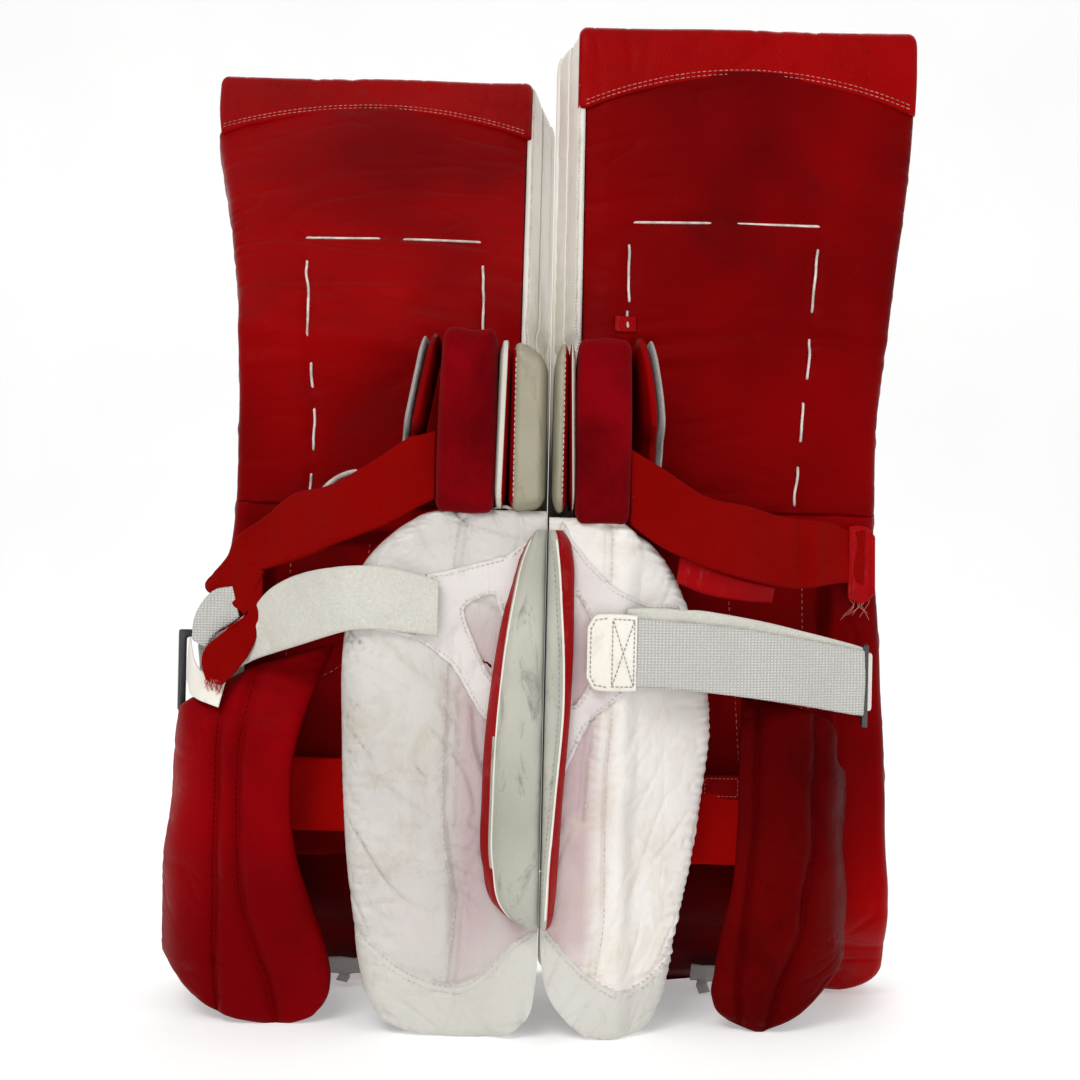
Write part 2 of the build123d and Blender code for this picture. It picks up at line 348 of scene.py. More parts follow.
def tube(name, line, radius, side, mat, sides=8):
    """A round cord or piping along a line of points."""
    line = np.asarray(line, float)
    tan = np.gradient(line, axis=0)
    tan /= np.linalg.norm(tan, axis=1)[:, None] + 1e-9
    up = np.array([0.0, 0.0, 1.0]) if abs(tan[0][2]) < 0.9 else np.array([1.0, 0, 0])
    rings = []
    for i, (p, t) in enumerate(zip(line, tan)):
        q = np.cross(t, up)
        q /= np.linalg.norm(q) + 1e-9
        up = np.cross(q, t)
        ends = min(i, len(line) - 1 - i)
        rr = radius * (0.45 if ends == 0 else 1.0)
        a = np.linspace(0, 2 * math.pi, sides, endpoint=False)[:, None]
        rings.append(p + (q * np.cos(a) + up * np.sin(a)) * rr)
    return loft(name, rings, side, [mat])


def ribbon(name, top, bottom, thick, side, mats, n=90, m=14, wave=None):
    """A strap between a top and a bottom edge line, with rounded edges."""
    t = spline(top, n)
    b = spline(bottom, n)
    w = np.linspace(0, 1, m)[None, :, None]
    mid = t[:, None, :] * (1 - w) + b[:, None, :] * w
    du = np.gradient(mid, axis=0)
    dv = np.gradient(mid, axis=1)
    nrm = np.cross(du, dv)
    nrm /= np.linalg.norm(nrm, axis=2)[:, :, None] + 1e-9
    flip = np.sign(np.mean(nrm[..., 1]))
    nrm = -nrm * flip if flip != 0 else nrm
    if wave is not None:
        mid = mid + nrm * wave(mid)[..., None]
    width = np.linalg.norm(t - b, axis=1)[:, None]
    d = np.minimum(w[0, :, 0], 1 - w[0, :, 0])[None, :] * width
    h = thick / 2 * (0.35 + 0.65 * edge_round(d, thick * 0.8))
    return shell(name, mid + nrm * h[..., None], mid - nrm * h[..., None], side, mats)


def drape(name, outline, tree, side, mats, lift, thick, holes=(), gap=4.0):
    """A thin panel with an (x, z) outline laid on a surface and given thickness."""
    loops = [np.asarray(outline, float)] + [np.asarray(h, float) for h in holes]
    verts, edges = [], []
    for loop in loops:
        start = len(verts)
        count = len(loop)
        verts += [Vector(p) for p in loop]
        edges += [(start + i, start + (i + 1) % count) for i in range(count)]
    lo, hi = loops[0].min(0), loops[0].max(0)
    for x in np.arange(lo[0] + gap / 2, hi[0], gap):
        for z in np.arange(lo[1] + gap / 2, hi[1], gap):
            if inside(loops[0], x, z) and not any(inside(h, x, z) for h in loops[1:]):
                verts.append(Vector((x, z)))
    out_v, _, out_f, _, _, _ = delaunay_2d_cdt(verts, edges, [], 1, 1e-4)
    faces = []
    for f in out_f:
        cx = sum(out_v[i][0] for i in f) / len(f)
        cz = sum(out_v[i][1] for i in f) / len(f)
        if not any(inside(h, cx, cz) for h in loops[1:]):
            faces.append(f)
    top, low, last = [], [], None
    for v in out_v:
        p, n = hit(tree, v[0], v[1], side)
        if p is None:
            p = np.array([v[0], last[0][1] if last else WRAP_Y, v[1]])
            n = last[1] if last else np.array([0, -1.0, 0])
        last = (p, n)
        top.append(p + n * (lift + thick))
        low.append(p + n * lift)
    bm = bmesh.new()
    a = [bm.verts.new(world(p, side)) for p in top]
    b = [bm.verts.new(world(p, side)) for p in low]
    count = {}
    for f in faces:
        bm.faces.new([a[i] for i in f])
        bm.faces.new([b[i] for i in reversed(f)])
        for i, j in zip(f, list(f[1:]) + [f[0]]):
            count.setdefault(frozenset((i, j)), []).append((i, j))
    for pair in count.values():
        if len(pair) == 1:
            i, j = pair[0]
            bm.faces.new((a[j], a[i], b[i], b[j]))
    return finish_mesh(name, bm, mats)


def inside(loop, x, z):
    c = False
    n = len(loop)
    for i in range(n):
        x1, z1 = loop[i]
        x2, z2 = loop[(i + 1) % n]
        if (z1 > z) != (z2 > z) and x < (x2 - x1) * (z - z1) / (z2 - z1) + x1:
            c = not c
    return c


def rounded(name, lo, hi, r, side, mats, puff=(0, 0, 0), cuts=26, pick=None, form=None):
    """A soft block: a box with rounded edges whose faces swell by puff."""
    lo, hi = np.array(lo, float), np.array(hi, float)
    bm = bmesh.new()
    bmesh.ops.create_cube(bm, size=2.0)
    bmesh.ops.subdivide_edges(bm, edges=bm.edges, cuts=cuts, use_grid_fill=True)
    mid, half = (lo + hi) / 2, (hi - lo) / 2
    r = np.minimum(r, half * 0.98)
    for v in bm.verts:
        c = np.array(v.co)
        s = np.sign(c) * np.abs(c) ** 0.92
        p = s * half
        core = np.clip(p, -(half - r), half - r)
        d = (p - core) / r
        m = np.abs(d).max()
        if m > 1e-9:
            length = np.linalg.norm(d)
            if length > 1e-9:
                d = d / length * m
        p = core + d * r
        q = np.clip(1 - c**2, 0, 1)
        for k in range(3):
            a, b = (k + 1) % 3, (k + 2) % 3
            p[k] += np.sign(c[k]) * abs(c[k]) ** 3 * puff[k] * (q[a] * q[b]) ** 0.5
        p = p + mid
        if form:
            p = form(p)
        v.co = world(p, side)
    ob = finish_mesh(name, bm, mats)
    if pick:
        for poly in ob.data.polygons:
            c = drawn(poly.center, side)
            n = np.array(poly.normal) * np.array([SIGN[side], 1, 1])
            poly.material_index = pick(c, n)
    return ob


# -------------------------------------------------------------- materials


class Mat:
    """A node material built up in steps."""

    def __init__(self, name, rough, sheen=0.0, spec=0.5, coat=0.0, tint=None):
        self.m = bpy.data.materials.new(name)
        self.m.use_nodes = True
        self.t = self.m.node_tree
        self.b = self.t.nodes["Principled BSDF"]
        values = {"Roughness": rough, "Specular IOR Level": spec}
        if sheen:
            values.update({"Sheen Weight": sheen, "Sheen Roughness": 0.5})
        if coat:
            values.update({"Coat Weight": coat, "Coat Roughness": 0.25})
        if tint:
            values.update({"Specular Tint": (*tint, 1), "Sheen Tint": (*tint, 1)})
        for key, value in values.items():
            self.b.inputs[key].default_value = value
        self.coord = self.t.nodes.new("ShaderNodeTexCoord").outputs["Object"]
        self.last_bump = None

    def over(self, kind, vector=None, **values):
        """A node that reads a vector, by default the piece's own coordinates."""
        n = self.t.nodes.new("ShaderNode" + kind)
        for key, value in values.items():
            n.inputs[key.replace("_", " ")].default_value = value
        self.t.links.new(vector or self.coord, n.inputs["Vector"])
        return n

    def mapped(self, scale=(1, 1, 1), turn=(0, 0, 0)):
        turned = [math.radians(a) for a in turn]
        return self.over("Mapping", Scale=scale, Rotation=turned).outputs["Vector"]

    def noise(self, scale, detail=3.0, rough=0.55, warp=0.0, vector=None):
        n = self.over("TexNoise", vector, Scale=scale, Detail=detail, Roughness=rough, Distortion=warp)
        return n.outputs["Fac"]

    def voronoi(self, scale):
        n = self.over("TexVoronoi", Scale=scale)
        n.feature = "DISTANCE_TO_EDGE"
        return n.outputs["Distance"]

    def wave(self, scale, axis="X", warp=0.0, detail=2.0, vector=None):
        n = self.over("TexWave", vector, Scale=scale, Distortion=warp, Detail=detail, Detail_Scale=1.5)
        n.bands_direction = axis
        return n.outputs["Fac"]

    def axis(self, name):
        """Distance from the middle plane (X), or height (Z)."""
        return self.math("ABSOLUTE", self.over("SeparateXYZ").outputs[name], 0.0)

    def ramp(self, value, stops):
        n = self.t.nodes.new("ShaderNodeValToRGB")
        e = n.color_ramp.elements
        e[0].position, e[0].color = stops[0][0], self.rgba(stops[0][1])
        e[1].position, e[1].color = stops[-1][0], self.rgba(stops[-1][1])
        for pos, col in stops[1:-1]:
            x = e.new(pos)
            x.color = self.rgba(col)
        self.t.links.new(value, n.inputs["Fac"])
        return n.outputs["Color"]

    @staticmethod
    def rgba(c):
        return (c, c, c, 1) if isinstance(c, (int, float)) else (*c, 1)

    def mix(self, fac, a, b, mode="MIX"):
        n = self.t.nodes.new("ShaderNodeMix")
        n.data_type = "RGBA"
        n.blend_type = mode
        self.put(fac, n.inputs[0])
        self.put(a, n.inputs[6])
        self.put(b, n.inputs[7])
        return n.outputs[2]

    def put(self, value, socket):
        if hasattr(value, "is_output"):
            self.t.links.new(value, socket)
        elif isinstance(value, (int, float)):
            socket.default_value = value
        else:
            socket.default_value = self.rgba(value)

    def math(self, op, a, b):
        n = self.t.nodes.new("ShaderNodeMath")
        n.operation = op
        self.put(a, n.inputs[0])
        self.put(b, n.inputs[1])
        return n.outputs[0]

    def bump(self, height, strength, distance):
        n = self.t.nodes.new("ShaderNodeBump")
        n.inputs["Strength"].default_value = strength
        n.inputs["Distance"].default_value = distance
        self.t.links.new(height, n.inputs["Height"])
        if self.last_bump:
            self.t.links.new(self.last_bump, n.inputs["Normal"])
        self.last_bump = n.outputs["Normal"]
        self.t.links.new(self.last_bump, self.b.inputs["Normal"])

    def colour(self, out):
        self.t.links.new(out, self.b.inputs["Base Color"])

    def roughness(self, out):
        self.t.links.new(out, self.b.inputs["Roughness"])


RED = (0.27, 0.0009, 0.0016)
RED_DEEP = (0.125, 0.0004, 0.001)


def nylon(name, light, dark, grime, rough=0.42):
    m = Mat(name, rough, spec=0.12, tint=(1.0, 0.08, 0.08))
    big = m.noise(5.5, 2.0, 0.5, 0.3)
    base = m.mix(m.ramp(big, [(0.35, 0), (0.68, 1)]), dark, light)
    dirt = m.ramp(m.noise(9.0, 4.0, 0.65, 0.6), [(0.56, 0), (0.74, 0.55)])
    base = m.mix(dirt, base, grime)
    weave = m.math(
        "MULTIPLY", m.wave(420, "X", 0.4), m.wave(420, "Z", 0.4)
    )
    base = m.mix(m.ramp(weave, [(0, 0.0), (1, 0.12)]), base, dark, "MULTIPLY")
    m.colour(base)
    m.roughness(m.ramp(m.noise(30, 3), [(0.3, rough - 0.08), (0.7, rough + 0.14)]))
    m.bump(m.noise(22, 4, 0.55, 0.8, m.mapped((1, 1, 2.6))), 0.35, 0.003)
    m.bump(m.noise(90, 3), 0.12, 0.001)
    m.bump(weave, 0.18, 0.0003)
    return m.m


def leather(name, light, dark, rough=0.36, grain=320, scuff=None, wear=0.5):
    red = light[1] < 0.1
    m = Mat(name, rough, spec=0.16 if red else 0.4, tint=(1.0, 0.1, 0.1) if red else None)
    base = m.mix(m.ramp(m.noise(7, 3), [(0.3, 0), (0.7, 1)]), dark, light)
    if scuff:
        marks = m.noise(16, 6, 0.7, 2.2, m.mapped((2.4, 2.4, 0.9)))
        base = m.mix(m.ramp(marks, [(0.55, 0), (0.72, wear)]), base, scuff)
        fine = m.noise(70, 5, 0.75, 1.5, m.mapped((3, 3, 0.6)))
        base = m.mix(m.ramp(fine, [(0.64, 0), (0.74, wear * 0.7)]), base, scuff)
    m.colour(base)
    m.roughness(m.ramp(m.noise(45, 3), [(0.3, rough - 0.06), (0.75, rough + 0.2)]))
    cells = m.ramp(m.voronoi(grain), [(0.0, 0), (0.22, 1)])
    m.bump(cells, 0.22, 0.0005)
    m.bump(m.noise(26, 5, 0.6, 1.0), 0.22, 0.0022)
    return m.m


def suede(name, light, dark):
    m = Mat(name, 0.92, sheen=0.12, spec=0.1, tint=(1.0, 0.15, 0.15))
    base = m.mix(m.ramp(m.noise(14, 4, 0.6, 0.6), [(0.35, 0), (0.65, 1)]), dark, light)
    fine = m.noise(900, 2, 0.6)
    base = m.mix(m.ramp(fine, [(0.35, 0.25), (0.65, 0.0)]), base, (0.02, 0, 0), "MIX")
    m.colour(base)
    m.bump(fine, 0.3, 0.0006)
    m.bump(m.noise(30, 4), 0.25, 0.002)
    return m.m


def elastic(name, light, dark, axis="Z"):
    m = Mat(name, 0.8, sheen=0.05, spec=0.06, tint=(1.0, 0.12, 0.1))
    rib = m.wave(300, axis, 0.6, 1.0)
    cross = m.wave(150, "X", 0.5, 1.0)
    base = m.mix(m.ramp(rib, [(0.0, 0.55), (1.0, 1)]), dark, light)
    base = m.mix(m.ramp(m.noise(12, 3), [(0.4, 0.0), (0.75, 0.35)]), base, dark)
    lint = m.ramp(m.noise(420, 3, 0.7), [(0.72, 0), (0.8, 0.35)])
    base = m.mix(lint, base, (0.45, 0.12, 0.09))
    m.colour(base)
    m.bump(rib, 0.5, 0.0006)
    m.bump(cross, 0.2, 0.0003)
    m.bump(m.noise(700, 2), 0.25, 0.0004)
    return m.m


def pile(name, light, dark):
    m = Mat(name, 0.96, sheen=0.2, spec=0.1)
    curl = m.noise(620, 4, 0.75, 1.2)
    base = m.mix(m.ramp(curl, [(0.3, 0), (0.7, 1)]), dark, light)
    patch = m.ramp(m.noise(26, 4, 0.65), [(0.45, 0), (0.75, 0.5)])
    base = m.mix(patch, base, dark)
    m.colour(base)
    m.bump(curl, 0.7, 0.0012)
    m.bump(m.noise(120, 3), 0.35, 0.0014)
    return m.m


def webbing(name, light, dark):
    m = Mat(name, 0.75, sheen=0.1, spec=0.3)
    v = m.mapped((1, 1, 1))
    warp = m.wave(120, "X", 0.25, 1.0, v)
    weft = m.wave(150, "Z", 0.25, 1.0, v)
    cell = m.math("MULTIPLY", warp, weft)
    base = m.mix(m.ramp(cell, [(0.12, 0), (0.5, 1)]), dark, light)
    base = m.mix(m.ramp(m.noise(16, 3), [(0.4, 0), (0.8, 0.45)]), base, dark)
    m.colour(base)
    m.bump(cell, 0.8, 0.0011)
    m.bump(m.noise(600, 2), 0.2, 0.0003)
    return m.m


def padded_white(name, k, seam):
    """White padded cloth, with a painted pinkish shade where it lies between the main seam and the wedge."""
    m = Mat(name, 0.4, spec=0.42)
    # k scales every colour of the cloth, so each pad gets its own copy: 0.78 makes the left one darker
    # (painted shade), 1.06 the right one brighter (painted light).
    low, high = [c * k for c in (0.62, 0.585, 0.55)], [c * k for c in (0.76, 0.735, 0.70)]
    tone = m.ramp(m.noise(6, 3), [(0.35, low), (0.65, high)])
    pink = m.ramp(m.noise(4.4, 3, 0.5, 0.5), [(0.5, 0), (0.72, 0.6)])
    base = m.mix(pink, tone, (0.6 * k, 0.45 * k, 0.48 * k))
    # Painted shade: a darker pinkish colour between the main seam and the wedge, deepest towards the wedge
    # and broken up by noise.
    flat = m.ramp(m.axis("X"), [(seam - 0.012, 0.9), (seam - 0.002, 0.15), (seam + 0.0005, 0)])
    low = m.ramp(m.axis("Z"), [(0.035, 0), (0.075, 1), (0.29, 1), (0.33, 0)])
    shade_breakup = m.ramp(m.noise(17, 3, 0.5, 0.6, m.mapped((1, 1, 0.35))), [(0.3, 0.35), (0.6, 1)])
    wedge_shade_zone = m.mix(1.0, m.mix(1.0, flat, low, "MULTIPLY"), shade_breakup, "MULTIPLY")
    base = m.mix(wedge_shade_zone, base, (0.46, 0.33, 0.35))
    dirt = m.ramp(m.noise(11, 6, 0.7, 1.5), [(0.52, 0), (0.75, 0.65)])
    base = m.mix(dirt, base, (0.50 * k, 0.43 * k, 0.30 * k))
    specks = m.ramp(m.noise(150, 5, 0.8, 0.5), [(0.70, 0), (0.8, 0.5)])
    base = m.mix(specks, base, (0.25, 0.23, 0.2))
    m.colour(base)
    m.roughness(m.ramp(m.noise(40, 3), [(0.3, 0.33), (0.7, 0.55)]))
    m.bump(m.noise(24, 5, 0.55, 1.8, m.mapped((1.8, 1, 1), (0, 35, 0))), 0.36 / k**2 - 0.1, 0.005)
    m.bump(m.voronoi(520), 0.08, 0.0003)
    return m.m


def thread(name, c, dark):
    red = c[1] < 0.05
    m = Mat(name, 0.7, sheen=0.0 if red else 0.2, spec=0.06 if red else 0.3,
    tint=(1.0, 0.1, 0.1) if red else None)
    m.colour(m.mix(m.ramp(m.noise(90, 3), [(0.35, 0), (0.65, 1)]), dark, c))
    m.bump(m.wave(900, "DIAGONAL", 0.2), 0.4, 0.0003)
    return m.m


def metal_black(name):
    m = Mat(name, 0.35, spec=0.5, coat=0.3)
    m.colour(m.ramp(m.noise(40, 4), [(0.3, (0.012, 0.012, 0.013)), (0.8, (0.03, 0.03, 0.03))]))
    m.bump(m.noise(300, 3), 0.08, 0.0003)
    return m.m


M = {
    "nylon_l": nylon("red_nylon_left", (0.26, 0.0009, 0.0016), (0.13, 0.0004, 0.001), (0.085, 0.005, 0.006)),
    # The right pad's red nylon is a darker copy of the left one's: painted shade.
    "nylon_r": nylon("red_nylon_right_painted_shade", (0.20, 0.0006, 0.0012), (0.085, 0.0003, 0.0008),
    (0.055, 0.002, 0.003)),
    "nylon": nylon("red_nylon", RED, RED_DEEP, (0.085, 0.004, 0.005)),
    "nylon_dark": nylon("dark_red_lining", (0.12, 0.0006, 0.0015), (0.05, 0.0002, 0.0006),
    (0.03, 0.002, 0.002), 0.5),
    "wrap_red": nylon("red_wrap_cloth", (0.30, 0.0006, 0.003), (0.14, 0.0003, 0.0015),
    (0.08, 0.0006, 0.001), 0.5),
    "cap": leather("red_leather", (0.27, 0.0012, 0.0016), (0.20, 0.0006, 0.001), 0.34, 330,
    (0.09, 0.001, 0.001), 0.35),
    "red_edge": leather("red_leather_trim", (0.32, 0.002, 0.004), (0.21, 0.0008, 0.0015), 0.4, 400,
    (0.5, 0.25, 0.22), 0.1),
    "white": leather("white_leather", (0.80, 0.77, 0.70), (0.70, 0.66, 0.59), 0.38, 360, (0.30, 0.30, 0.25),
    0.3),
    # The wedge's white leather: real scuffs on a darker base, and that darker base is painted shade.
    "scuffed_and_shaded": leather("scuffed_white_leather_painted_shade", (0.48, 0.47, 0.41), (0.30, 0.30, 0.25), 0.4, 340,
    (0.10, 0.11, 0.085), 0.75),
    # Darker left and brighter right copies of the white wrap cloth: painted shade and painted light.
    "wrap_left": padded_white("white_wrap_cloth_left_painted_shade", 0.78, 0.0690),
    "wrap_right": padded_white("white_wrap_cloth_right_painted_light", 1.06, 0.0440),
    "suede": suede("red_suede", (0.20, 0.0006, 0.0035), (0.10, 0.0003, 0.002)),
    "elastic": elastic("red_elastic", (0.24, 0.002, 0.0015), (0.12, 0.0008, 0.0006)),
    # A much brighter copy of the red elastic for the heel elastic inside the leg channel: painted light.
    "elastic_lit": elastic("red_elastic_painted_light", (0.62, 0.005, 0.004), (0.34, 0.002, 0.002)),
    "pile": pile("white_pile", (0.70, 0.69, 0.63), (0.50, 0.48, 0.42)),
    "felt": pile("grey_loop", (0.40, 0.38, 0.36), (0.24, 0.23, 0.22)),
    "leaf": leather("pale_leaf_leather", (0.58, 0.57, 0.50), (0.46, 0.45, 0.38), 0.42, 330,
    (0.25, 0.24, 0.2), 0.3),
    "webbing": webbing("white_webbing", (0.74, 0.73, 0.69), (0.42, 0.41, 0.39)),
    "lace": thread("white_lace", (0.72, 0.68, 0.62), (0.45, 0.38, 0.34)),
    "thread_white": thread("white_thread", (0.72, 0.67, 0.6), (0.5, 0.42, 0.36)),
    "thread_pink": thread("pink_thread", (0.62, 0.22, 0.18), (0.4, 0.08, 0.07)),
    "thread_grey": thread("grey_thread", (0.36, 0.34, 0.31), (0.24, 0.22, 0.2)),
    "thread_dark": thread("dark_red_thread", (0.12, 0.001, 0.002), (0.06, 0.0, 0.001)),
    "thread_red": thread("red_thread", (0.45, 0.02, 0.02), (0.25, 0.01, 0.01)),
    "foot": leather("white_foot_leather", (0.60, 0.59, 0.55), (0.52, 0.505, 0.46), 0.36, 360,
    (0.42, 0.40, 0.32), 0.3),
    "yoke": leather("white_yoke_leather", (0.69, 0.665, 0.64), (0.60, 0.55, 0.55), 0.4, 380,
    (0.42, 0.34, 0.32), 0.35),
    "scuffed_knee": leather("cream_knee_leather", (0.33, 0.305, 0.22), (0.24, 0.22, 0.155), 0.42, 330,
    (0.12, 0.11, 0.08), 0.5),
    # A much darker copy of the red wrap cloth, for the right outer pad and the knee blocks' outward side
    # faces: painted shade.
    "wrap_red_shaded": nylon("red_wrap_cloth_painted_shade", (0.105, 0.0004, 0.0008), (0.05, 0.0, 0.0004),
    (0.03, 0.0, 0.0003), 0.55),
    "liner": nylon("red_liner", (0.30, 0.002, 0.003), (0.15, 0.0008, 0.0014), (0.08, 0.003, 0.003), 0.5),
    "black": metal_black("black_metal"),
}


# ---------------------------------------------------- pad body and skins


def wall_in(y):
    return 8.0 + 17.0 * (FRONT - y) / 56.0


EDGE = {
    "right": [(0, 284), (60, 282), (92, 280), (124, 276.5), (155, 275), (187, 274), (219, 272),
              (251, 269.5), (283, 267.5), (315, 265.3), (347, 262.5), (379, 261), (411, 261),
              (443, 260.5), (475, 261.5), (507, 264.5), (531, 268), (564, 272), (597, 276),
              (629, 280.5), (661, 284.5), (694, 288.5), (740, 292), (785, 293)],
    "left": [(0, 284), (60, 283), (97, 281), (170, 276), (250, 267), (330, 257), (387, 249.5),
             (420, 248.5), (455, 248.5), (490, 248.5), (523, 251), (550, 255), (580, 260),
             (620, 267), (660, 274.5), (700, 283), (740, 290.5), (785, 294)],
}


def edge_x(z, side):
    """Lateral edge of the pad, narrowest at the knee."""
    return curve(EDGE[side], z)


def arch(x):
    """Height of the cap's lower seam across the back."""
    t = (np.asarray(x, float) - 157.0) / 136.0
    return 744.0 - 30.0 * t * t


LACE_RUNS = {
    "right": [((61, 621), (128, 621)), ((145, 621), (214, 620)), ((60.5, 603), (61, 553)),
              ((60, 546), (60, 533)), ((212, 602), (207, 548)), ((206, 530), (203.6, 503)),
              ((200.5, 485), (199.5, 453)), ((198, 434), (196, 402))],
    "left": [((205.5, 597), (141, 597.5)), ((125.5, 597), (57.5, 596)), ((201.8, 574), (193.5, 518)),
             ((190.5, 508), (188.7, 488)), ((187, 472), (187.6, 438)), ((188, 420), (190, 398)),
             ((57.3, 572), (54.5, 520))],
}


def back_relief(x, z, side):
    """How far the thigh lining stands out (+) or sinks (-) behind its plane."""
    e = edge_x(z, side)
    out = 2.0 * step((x - 25) / 20) * step((e - x) / 26)
    puff = waves(x, z, 150, 3, 1.2)
    out = out + 1.1 * puff
    seed = 11 if side == "right" else 23
    out = out - 1.3 * folds(x, z, 70, seed, 4.0, 4)
    out = out - 0.8 * folds(x, z, 46, seed + 1, 3.5, -14, 0.22)
    lateral = step((x - 205) / 50)
    out = out - 1.3 * lateral * folds(x, z, 34, seed + 2, 3.0, 12, 0.25)
    for run in LACE_RUNS[side]:
        out = out - 1.9 * np.exp(-((near(x, z, run) / 5.0) ** 2))
    # fabric gathers where the knee break folds
    gather = np.exp(-(((z - KNEE_Z) / 16.0) ** 2))
    out = out + 1.6 * gather * waves(x * 0.4, z, 16, seed + 5, 5.0)
    out = out - 2.5 * np.exp(-(((z - 526 - 3 * waves(x, z, 90, seed + 7)) / 4.0) ** 2))
    return out


def body_section(z, edge, back, nb=110):
    """One closed outline of the pad at height z: back, lateral side, front, wall."""
    r, r2 = 9.0, 6.0
    x = np.linspace(25.2, edge - r, nb)
    zz = np.full(nb, 1.0) * z
    rows = [np.stack([x, back(x, zz), zz], 1)]
    end_y = rows[0][-1, 1]
    a = np.linspace(0, math.pi / 2, 10)[1:]
    cx = edge - r + r * np.sin(a)
    cy = end_y + r - r * np.cos(a)
    rows.append(np.stack([cx, cy, np.full(9, z)], 1))
    y = np.linspace(end_y + r, 30 - r2, 14)[1:]
    swell = 1.5 * np.sin(np.linspace(0, math.pi, 14)[1:])
    swell = swell + 0.5 * waves(y * 1.0, np.full(13, z), 30, 5, 2.0)
    rows.append(np.stack([edge + swell, y, np.full(13, z)], 1))
    cx = edge - r2 + r2 * np.cos(a)
    cy = 30 - r2 + r2 * np.sin(a)
    rows.append(np.stack([cx, cy, np.full(9, z)], 1))
    x = np.linspace(edge - r2, 10.5, 26)[1:]
    rows.append(np.stack([x, np.full(25, 30.0), np.full(25, z)], 1))
    y = np.linspace(30, BACK + 2, 10)[1:]
    rows.append(np.stack([wall_in(y) + 0.6, y, np.full(9, z)], 1))
    return np.vstack(rows)


def upper_body(side):
    rings = []
    levels = np.linspace(0, 1, 150)
    for v in levels:
        z = 396 + v * (742 - 396)
        ring = body_section(z, float(edge_x(z, side)), lambda x, zz: BACK - back_relief(x, zz, side))
        top = arch(ring[:, 0]) + 5
        ring[:, 2] = 396 + v * (top - 396)
        rings.append(ring)
    rings = lean(np.array(rings), side)
    # The right pad's lining takes the darker copy of the red nylon, which is painted shade.
    ob = loft(side + "_thigh_and_knee_lining", rings, side, [M["nylon_" + side[0]]])
    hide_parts(*[side + "_" + n for n in ("thigh_core", "thigh_lining", "knee_lining")])
    tree = bvh(ob)
    across_knee(ob, side)
    return tree


def across_knee(ob, side):
    joined(ob, side, [150, 10, KNEE_Z - 17], [150, 10, KNEE_Z + 17])


def across_ankle(ob, side):
    joined(ob, side, [150, 10, ANKLE_Z + 16], [150, 10, ANKLE_Z - 12])


def shin_relief(x, z, side):
    """Depth of the shin's back surface: side ridges, leg channel, boot channel."""
    e = edge_x(z, side)
    channel = step((x - 60) / 14) * step((230 - x) / 14)
    deep = 15.5 * step((378 - z) / 14)
    boot = step((z - 40) / 70)
    depth = channel * deep * (0.45 + 0.55 * boot)
    puff = 1.2 * step((x - 232) / 10) * step((e - x) / 12)
    seed = 31 if side == "right" else 37
    wrinkle = 1.2 * folds(x, z, 36, seed, 2.5, 5) + 0.6 * waves(x, z, 60, seed + 1)
    lateral = step((x - 225) / 12)
    return depth - puff + lateral * wrinkle


def lower_body(side):
    rings = []
    for z in np.linspace(396.5, 96, 110):
        ring = body_section(z, float(edge_x(z, side)), lambda x, zz: -19.0 + shin_relief(x, zz, side))
        rings.append(ring)
    for v in 1 - np.cos(np.linspace(0, math.pi / 2, 56))[1:]:
        up = (1 - v) * 110.0
        z = 96.0 * (1 - v)
        corner = 46.0 * (1 - edge_round(up + 0.5, 46.0))
        inset = 7.0 * (1 - edge_round(up, 9.0))
        ring = body_section(
            z,
            float(edge_x(z, side)) - corner,
            lambda x, zz: -16.0 - 3.0 * step((z - 60) / 36) + inset * 0.6 + shin_relief(x, zz, side),
        )
        ring[:, 0] = np.maximum(ring[:, 0], 10 + inset * 0.5)
        tall = 117.0 - (FRONT - ring[:, 1]) * 0.7002
        rise = 20.0 * np.exp(-(((ring[:, 0] - 145) / 75.0) ** 2)) * step(v * 1.6 - 0.4)
        ring[:, 2] = 96.0 - v * tall + rise
        rings.append(ring)
    rings = boot_bend(np.array(rings))
    rings[..., 2] = np.maximum(rings[..., 2], 0.3)

    def pick(c, n):
        if n[0] < -0.5 and c[0] < 30 and c[2] < 118:
            return 2
        if c[2] < 116 and 64 < c[0] < 226 and n[1] < 0.2:
            return 1
        return 0

    mats = [M["nylon"], M["nylon_dark"], M["white"]]
    ob = loft(side + "_shin_and_boot", rings, side, mats, pick)
    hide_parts(*[side + "_" + n for n in ("shin_core", "boot_core", "boot_lining")])
    tree = bvh(ob)
    across_ankle(ob, side)
    return ob, tree


def top_in(p):
    """Rounds the pad's upper front edge and its upper inner corner."""
    w = 1 - edge_round(786.0 - p[..., 2], 27.0)
    k = np.clip((p[..., 1] - BACK) / 56.0, 0, 1)
    q = p.copy()
    q[..., 1] = p[..., 1] - 21.0 * w * k
    side_in = np.clip((60.0 - p[..., 0]) / 60.0, 0, 1)
    q[..., 0] = p[..., 0] + 7.0 * (1 - edge_round(783.0 - p[..., 2], 14.0)) * side_in
    return q


